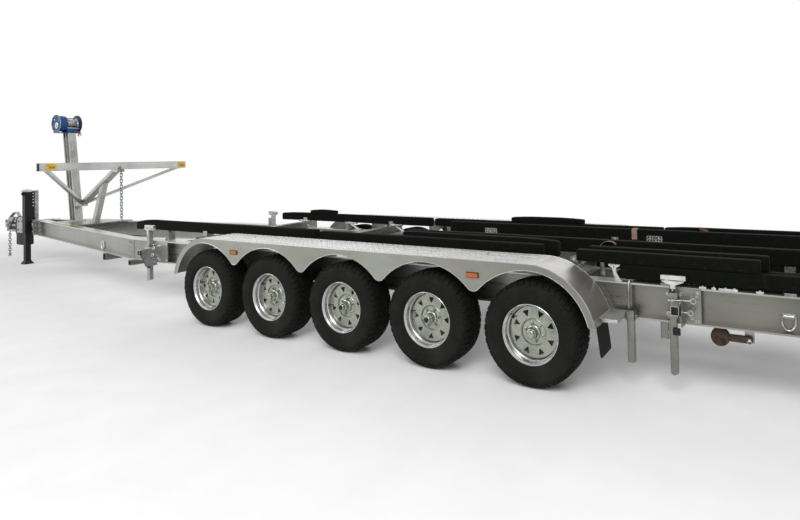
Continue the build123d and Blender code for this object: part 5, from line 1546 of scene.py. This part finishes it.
def addJackFittings():
    look = jackSet
    x, y, half, top = look["x"], look["y"], look["capHalf"], look["coverTop"]
    bright, black = bmesh.new(), bmesh.new()
    # pale domed cap on the tube, and a cover plate over the rail with its screws
    addBlock(bright, (x - half, y - half, look["capLow"]), (x + half, y + half, look["capTop"]), 0.012, 4)
    addBlock(bright, (x - 0.05, 0.023, look["coverLow"]), (x + 0.05, y + 0.07, top), 0.003)
    for a in look["screwXs"]:
        for screwY in look["screwYs"]:
            addRod(bright, (x + a, screwY, top), (x + a, screwY, top + 0.0035), 0.006, 6)
    # pale sleeves of the height holes along the channel
    faceX, faceY = look["sleeveX"], look["sleeveY"]
    for n in range(look["sleeves"]):
        z = look["sleeveTop"] - n * look["sleevePitch"]
        addRod(bright, (faceX + 0.0012, faceY, z), (faceX - 0.0016, faceY, z), 0.0095, 16)
    # bolts of the clamp blocks and the bracket
    for z in look["clampZs"]:
        addBolt(bright, (5.9995, 0.0805, z), (-1, 0, 0), look["bolt"])
    for boltX in look["plateXs"]:
        for z in look["plateZs"]:
            addBolt(bright, (boltX, 0.085, z), (0, 1, 0), look["bolt"])
    rim, bore = look["bandRim"], look["bandBore"]
    for low, high in look["bands"]:
        place = Matrix.Translation((x, y, (low + high) / 2))
        addSheet(black, boxLoop(-rim, -rim, rim, rim, 0.005), high - low, place,
                 [boxLoop(-bore, -bore, bore, bore)])
    z = look["socketZ"]
    addLathe(black, look["socket"], (x, 0, z), 28)
    addRod(bright, (x, 0.247, z), (x, 0.256, z), 0.009, 6)
    makePiece("jackFittings", bright, paleZinc)
    makePiece("jackBands", black, blackPaint)


couplerSet = {
    "back": 6.442, "cheek": 6.707, "noseBack": 7.04, "tip": 7.2, "low": 0.482, "top": 0.775, "half": 0.075,
    "bodyShare": 0.76, "noseShare": 0.62, "edge": 0.0075, "cheekBolt": (0.013, 0.008, 0.006),
    "cheekBolts": ((6.5, 0.545), (6.5, 0.7), (6.64, 0.545), (6.62, 0.69)), "ballX": 7.11, "cup": 0.0455,
    "bore": 0.03, "cupHigh": 0.09, "cupRings": (0.03, 0.088),
    "handle": ((6.735, 0.746), (6.79, 0.798), (6.835, 0.836), (6.89, 0.84), (6.945, 0.83), (6.99, 0.798),
               (7.06, 0.763), (7.096, 0.706)),
    "band": ((6.8, 0.738), (6.86, 0.69), (6.93, 0.62), (6.99, 0.54)),
    "nubs": ((7.13, 0.672), (7.075, 0.612)),
}


def addCoupler():
    look = couplerSet
    bright, dark, grey = bmesh.new(), bmesh.new(), bmesh.new()
    back, cheek, noseBack, tip, low, top, half = pick(look, "back cheek noseBack tip low top half")
    # cheek plates, rounded at their front upper corner and edged in black
    outline = roundedLoop([(back, low), (cheek, low), (cheek, top - 0.12), (cheek - 0.02, top - 0.045),
                           (cheek - 0.075, top), (back, top)], 0.03, 5)
    addSideSheet(grey, outline, 2 * half - 0.008, 0)
    for hand in (-1, 1):
        addRun(dark, [(a, hand * (half - 0.004), b) for a, b in outline], look["edge"], 8, closed=True)
        for boltX, boltZ in look["cheekBolts"]:
            addBolt(bright, (boltX, hand * (half - 0.005), boltZ), (0, hand, 0), look["cheekBolt"])
    # banded body: pale upper shell over a darker lower one, both well rounded, and the nose over the ball
    wide, nose = half * look["bodyShare"], half * look["noseShare"]
    for bm, start, end, side, foot, lid, soft, steps in (
            (bright, cheek - 0.01, noseBack + 0.01, wide, top - 0.11, top - 0.022, 0.02, 4),
            (dark, cheek - 0.01, noseBack, wide - 0.004, low + 0.02, top - 0.1, 0.012, 3),
            (bright, cheek + 0.015, noseBack - 0.02, wide, low + 0.11, low + 0.15, 0.012, 3),
            (bright, cheek + 0.005, noseBack - 0.008, wide, low + 0.014, low + 0.055, 0.012, 3),
            (bright, noseBack - 0.015, tip, nose, low + 0.075, top - 0.07, 0.028, 4)):
        addBlock(bm, (start, -side, foot), (end, side, lid), soft, steps)
    ballX = look["ballX"]
    addSheet(bright, ringOf(look["cup"], 40, ballX), look["cupHigh"],
             Matrix.Translation((0, 0, low + 0.0595)),
             [ringOf(look["bore"], 32, ballX)])
    for rise in look["cupRings"]:
        addRun(dark, [(a, b, low + rise) for a, b in ringOf(0.0462, 28, ballX)], 0.0028, 6, closed=True)
    # latch handle bent from flat bar, its pin, the diagonal black band, the nubs and the chain's eye
    addStrap(grey, [(a, 0.0, b) for a, b in look["handle"]], 0.052, 0.01, (0, 0, 1))
    addStrap(dark, [(a, wide + 0.001, b) for a, b in look["band"]], 0.044, 0.004, (0, 1, 0))
    addRod(bright, (6.79, -0.046, 0.742), (6.79, 0.05, 0.742), 0.009, 16)
    for a, b in look["nubs"]:
        addRod(dark, (a, nose - 0.004, b), (a, nose + 0.012, b), 0.012, 16)
    addBlock(grey, (7.004, 0.034, 0.432), (7.04, 0.046, 0.5), 0.003)
    makePiece("couplerShells", bright, zinc, ("coupler",))
    makePiece("couplerCheeks", grey, greenZinc)
    makePiece("couplerBlackParts", dark, blackPlastic)


batterySet = {
    "back": 6.4225, "front": 6.7065, "half": 0.0745, "low": 0.2765, "body": 0.455, "lid": 0.448,
    "top": 0.481, "ribs": (6.46, 6.51, 6.62, 6.67), "strapX": 6.565, "face": 0.0748,
}


def addBatteryBox():
    # box with a lid, moulded ribs and a strap
    look = batterySet
    back, front, half, face = look["back"], look["front"], look["half"], look["face"]
    box = bmesh.new()
    addBlock(box, (back, -half + 0.0005, look["low"]), (front, half - 0.0005, look["body"]), 0.02, 3)
    addBlock(box, (back, -half, look["lid"]), (front, half, look["top"]), 0.006)
    for x in look["ribs"]:
        addBlock(box, (x - 0.004, -face, 0.3), (x + 0.004, face, 0.44), 0.002)
    addStrap(box, [(look["strapX"], face, z) for z in (0.47, 0.29)], 0.034, 0.0016, (0, 1, 0))
    makePiece("batteryCase", box, blackPlastic, ("battery_box",))


flangeSet = {
    "x": 5.7, "thick": 0.012, "inner": 0.02, "reach": 0.034, "low": 0.486, "high": 0.752, "webY": 0.837,
    "frontX": 5.93, "backX": 5.89, "frontY": 0.128, "boltZs": (0.52, 0.58, 0.655, 0.718),
    "bolt": (0.009, 0.007, 0.004),
}


def addFlanges():
    # joint plate across the tongue beams, and the bolts of the drawbar's own plates
    plates, bolts = bmesh.new(), bmesh.new()
    look = flangeSet
    x, far = look["x"], look["x"] + look["thick"]
    edge = tongueY(x, look["webY"])
    rowY = edge + look["reach"] / 2
    for hand in (-1, 1):
        addBlock(plates, (x, hand * look["inner"], look["low"]),
                 (far, hand * (edge + look["reach"]), look["high"]), 0.002)
        for face, way, y in ((x, -1, rowY), (far, 1, rowY), (look["backX"], -1, look["frontY"]),
                             (look["frontX"], 1, look["frontY"])):
            for z in look["boltZs"]:
                addBolt(bolts, (face, hand * y, z), (way, 0, 0), look["bolt"])
    makePiece("drawbarFlanges", plates, postMetal)
    makePiece("drawbarFlangeBolts", bolts, boltZinc)


addWinch()
addSpool()
addStrapEnd()
addBowFittings()
addChains()
addJackFittings()
addCoupler()
addBatteryBox()
addFlanges()
print("winch, bow frame, chains, jack and coupler done")


strapSet = {
    "x": -4.186, "y": -0.4, "half": 0.04, "low": 0.853, "high": 0.9695, "bend": 0.006, "wide": 0.05,
    "thick": 0.0028, "curl": (-4.172, 0.439, 0.934), "curlReach": 0.068, "curlHigh": 0.046,
    "curlDrop": 0.022, "curlWide": 0.052,
    "tail": ((-4.715, -0.7655, 0.9505), (-4.752, -0.766, 0.938), (-4.79, -0.7655, 0.925)),
    "tailWide": 0.026, "thin": 0.0022,
}


def addStraps():
    look = strapSet
    tan, red = bmesh.new(), bmesh.new()
    # strap drawn round the inner right board
    x, y, half, low, high, bend = pick(look, "x y half low high bend")
    sideRun = [(half, low + 0.02), (half, high - 0.008), (half - bend, high)]
    loop = [(a, b) for a, b in sideRun] + [(-a, b) for a, b in reversed(sideRun)]
    middle = (low + high) / 2
    for (a, b), (c, d) in zip(loop, loop[1:]):
        addStrap(tan, [(x, y + a, b), (x, y + c, d)], look["wide"], look["thick"],
                 (0, a + c, b + d - 2 * middle))
    # curled strap that lies over the inner left board
    curlX, curlY, curlZ = look["curl"]
    points = []
    for k in range(15):
        t = k / 14
        a = math.pi * (1 - 0.92 * t)
        points.append((curlX - look["curlReach"] * math.cos(a), curlY,
                       curlZ + look["curlHigh"] * math.sin(a) - look["curlDrop"] * (1 - t)))
    addStrap(tan, points, look["curlWide"], look["thin"], (0, 0, 1))
    makePiece("tanStraps", tan, tanWebbing, (), 0)
    addStrap(red, look["tail"], look["tailWide"], look["thin"], (0, 1, 0))
    makePiece("redTail", red, fadedWebbing, (), 0)


bracketSet = {
    # perforated clips on the inner right board
    "clipXs": (-4.37, -2.656, -6.1), "clipHalf": 0.072, "clipLow": 0.856, "clipHigh": 0.915,
    "clipY": -0.361, "clipHole": 0.0075, "clipHoleXs": (-0.052, -0.026, 0, 0.026, 0.052),
    "clipHoleZs": (0.873, 0.898), "bolt": (0.008, 0.006, 0.004),
    # swept stem of the pale bracket under the raised left boards, as (x, z), and its head
    "stem": ((-4.372, 0.865), (-4.288, 0.865), (-4.289, 0.852), (-4.314, 0.84), (-4.322, 0.806),
             (-4.334, 0.77), (-4.342, 0.7455), (-4.386, 0.7455), (-4.364, 0.776), (-4.346, 0.806),
             (-4.344, 0.84), (-4.371, 0.852)), "stemY": 0.842, "stemThick": 0.006,
    "head": ((-4.374, 0.69, 0.86), (-4.286, 0.845, 0.8656)),
    # folded ears of the stand brackets as (x, y), and the pads on the beam
    "ears": ((-4.0, 0.745), (-4.0, 0.4), (-2.52, 0.745), (-1.04, 0.745), (0.44, 0.745)), "earHalf": 0.034,
    "earIn": 0.038, "earOut": 0.043, "earLow": 0.83, "earHigh": 0.886, "padXs": (1.15, -0.3, -1.9, -3.3),
    "padHalf": 0.04, "padBolt": (0.006, 0.004, 0.003),
}


def addBrackets():
    bright, dull = bmesh.new(), bmesh.new()
    look = bracketSet
    low, half, face, bolt = look["clipLow"], look["clipHalf"], look["clipY"], look["bolt"]
    for x in look["clipXs"]:
        outline = boxLoop(x - half, low, x + half, look["clipHigh"], 0.006)
        holes = [ringOf(look["clipHole"], 12, x + a, b) for a in look["clipHoleXs"]
                 for b in look["clipHoleZs"]]
        addSideSheet(bright, outline, 0.004, face + 0.0022, holes)
        addBlock(bright, (x - half, face, low - 0.0045), (x + half, face + 0.04, low), 0.0015)
        for a in (-0.04, 0.04):
            addBolt(bright, (x + a, face + 0.004, 0.886), (0, 1, 0), bolt)
    addSideSheet(bright, look["stem"], look["stemThick"], look["stemY"], [ringOf(0.0055, 12, -4.33, 0.846)])
    addBlock(bright, *look["head"], 0.0015)
    for hand in (-1, 1):
        for x, y in look["ears"]:
            for ear in (-1, 1):
                inner, outer = hand * y + ear * look["earIn"], hand * y + ear * look["earOut"]
                addBlock(dull, (x - look["earHalf"], inner, look["earLow"]),
                         (x + look["earHalf"], outer, look["earHigh"]), 0.0015)
                addBolt(bright, (x, outer, 0.87), (0, ear, 0), bolt)
        for x in look["padXs"]:
            addBlock(dull, (x - look["padHalf"], hand * 0.7, 0.745),
                     (x + look["padHalf"], hand * 0.792, 0.752), 0.0015)
            for a in (-0.034, 0.034):
                addBolt(bright, (x + a, hand * 0.788, 0.752), (0, 0, 1), look["padBolt"])
        # upright beside the fender's rear end
        addBlock(dull, (-4.217, hand * 0.69, 0.7455), (-4.188, hand * 0.722, 0.8565), 0.003)
    makePiece("bunkBracketClips", bright, paleZinc)
    makePiece("bunkBracketEars", dull, greenZinc)


runnerSet = {
    "spans": ((-4.062, -5.7), (-5.706, -7.1)), "y": 0.4, "foot": 0.7455, "width": 0.06,
    "highs": {-1: 0.101, 1: 0.108}, "propXs": (0.39, -0.47, -1.2), "propY": -0.7,
}


def addRunners():
    # carpeted runners that the inner boards stand on, and pale props under the right front board
    runners, props = bmesh.new(), bmesh.new()
    look = runnerSet
    for hand in (-1, 1):
        for ahead, behind in look["spans"]:
            addBoard(runners, ahead, behind, hand * look["y"], look["foot"], look["width"],
                     look["highs"][hand], 0.0, 0.0)
    y, foot = look["propY"], look["foot"]
    for x in look["propXs"]:
        addRod(props, (x + 0.12, y, 0.852), (x - 0.06, y, 0.76), 0.014, 8)
        addBlock(props, (x - 0.11, y - 0.012, foot), (x + 0.01, y + 0.02, 0.775), 0.004)
        addBlock(props, (x - 0.03, y - 0.006, 0.836), (x + 0.15, y + 0.024, 0.856), 0.004)
    makePiece("bunkRunners", runners, carpet)
    makePiece("bunkProps", props, paleZinc)


# blocks of the tray between the fender's foot and the drop post: the top, the outer lip and the rear lip
stepSet = {
    "blocks": (((-4.431, 0.8665, 0.5402), (-4.3, 1.14, 0.545)),
               ((-4.431, 1.136, 0.52), (-4.325, 1.1405, 0.5448)),
               ((-4.4345, 0.8665, 0.519), (-4.4305, 1.138, 0.545))),
    "brace": ((-4.37, 1.06, 0.539), (-4.436, 0.945, 0.506)), "braceRadius": 0.006,
}


def addStep():
    tray = bmesh.new()
    for hand in (-1, 1):
        for ends in stepSet["blocks"]:
            addBlock(tray, *sideways(hand, ends), 0.0015)
        addRod(tray, *sideways(hand, stepSet["brace"]), stepSet["braceRadius"], 8)
    # painted highlight: the trays take the lighter bar aluminium for their brightly lit tops
    makePiece("stepTrays", tray, barMetal)


stabiliserSet = {
    "x": -5.232, "y": 0.807, "z": 0.42, "drum": 0.182, "ear": 0.0225, "earBore": 0.0105, "earThick": 0.007,
    "earY": 0.0112, "ring": 0.012, "ringWire": 0.0016,
    # ribbed foot's section as (radius, y)
    "foot": ((0.0001, -0.026), (0.03, -0.027), (0.046, -0.0275), (0.06, -0.025), (0.0625, -0.014),
             (0.056, -0.009), (0.056, -0.003), (0.062, 0.002), (0.062, 0.01), (0.056, 0.014), (0.06, 0.019),
             (0.0585, 0.025), (0.044, 0.0275), (0.03, 0.0265), (0.0001, 0.026)),
}


def addStabilisers():
    # rusty crank-down feet: a ribbed drum, a forked arm and a pin with its split ring
    look = stabiliserSet
    x, z, radius, small = look["x"], look["z"], look["ear"], look["ring"]
    drumX = x + look["drum"]
    for side, hand in (("left", 1), ("right", -1)):
        iron, pin = bmesh.new(), bmesh.new()
        y = hand * look["y"]
        addLathe(iron, look["foot"], (drumX, y, z), 28)
        turns = [math.pi * n / 10 for n in range(11)]
        outline = [(x - radius * math.sin(a), z + radius * math.cos(a)) for a in turns]
        outline += [(drumX - 0.03, z - 0.0205), (drumX - 0.03, z + 0.0205)]
        for ear in (-1, 1):
            addSideSheet(iron, outline, look["earThick"], y + ear * look["earY"],
                         [ringOf(look["earBore"], 16, x, z)])
        addBlock(iron, (x + 0.035, y - 0.0145, z - 0.014), (drumX - 0.04, y + 0.0145, z + 0.012), 0.004)
        addBlock(iron, (drumX - 0.085, y - 0.013, z + 0.008), (drumX - 0.02, y + 0.01, z + 0.022), 0.004)
        makePiece(f"stabiliserFoot_{side}", iron, rustyIron, (f"stabiliser_{side}",),
                  body=f"stabiliser_arm_{side}")
        ring = [(a, y + hand * 0.0205, b) for a, b in ringOf(small, 16, x, z - small)]
        addRun(pin, ring, look["ringWire"], 6, closed=True)
        addRod(pin, (x, y + hand * 0.0175, z), (x, y + hand * 0.0215, z), 0.0085, 18)
        makePiece(f"stabiliserPin_{side}", pin, paleZinc)


tailSet = {
    "inner": 0.618, "outer": 0.846, "low": 0.563, "high": 0.673, "frame": 0.006, "face": -7.1985,
    "columns": 14, "rows": 5, "inset": 0.022, "rowLow": 0.584, "rowPitch": 0.017, "dot": 0.0045,
}


def addTailLamps():
    shell, lens = bmesh.new(), bmesh.new()
    look = tailSet
    inner, outer, low, high, rim = pick(look, "inner outer low high frame")
    span = outer - inner - 2 * look["inset"]
    for hand in (-1, 1):
        addBlock(shell, (-7.172, hand * inner, low), (-7.162, hand * outer, high), 0.004)
        addBlock(lens, (-7.2, hand * (inner + rim), low + rim), (-7.169, hand * (outer - rim), high - rim),
                 0.008, 3)
        for n in range(look["columns"]):
            y = hand * (inner + look["inset"] + n * span / (look["columns"] - 1))
            for m in range(look["rows"]):
                z = look["rowLow"] + m * look["rowPitch"]
                addRod(lens, (look["face"], y, z), (look["face"] - 0.0013, y, z), look["dot"], 8)
    makePiece("tailLampShells", shell, blackPlastic)
    makePiece("tailLampLenses", lens, redLens, ("tail_lamps",))


addStraps()
addBrackets()
addRunners()
addStep()
addStabilisers()
addTailLamps()
print("straps, brackets and rear fittings done")
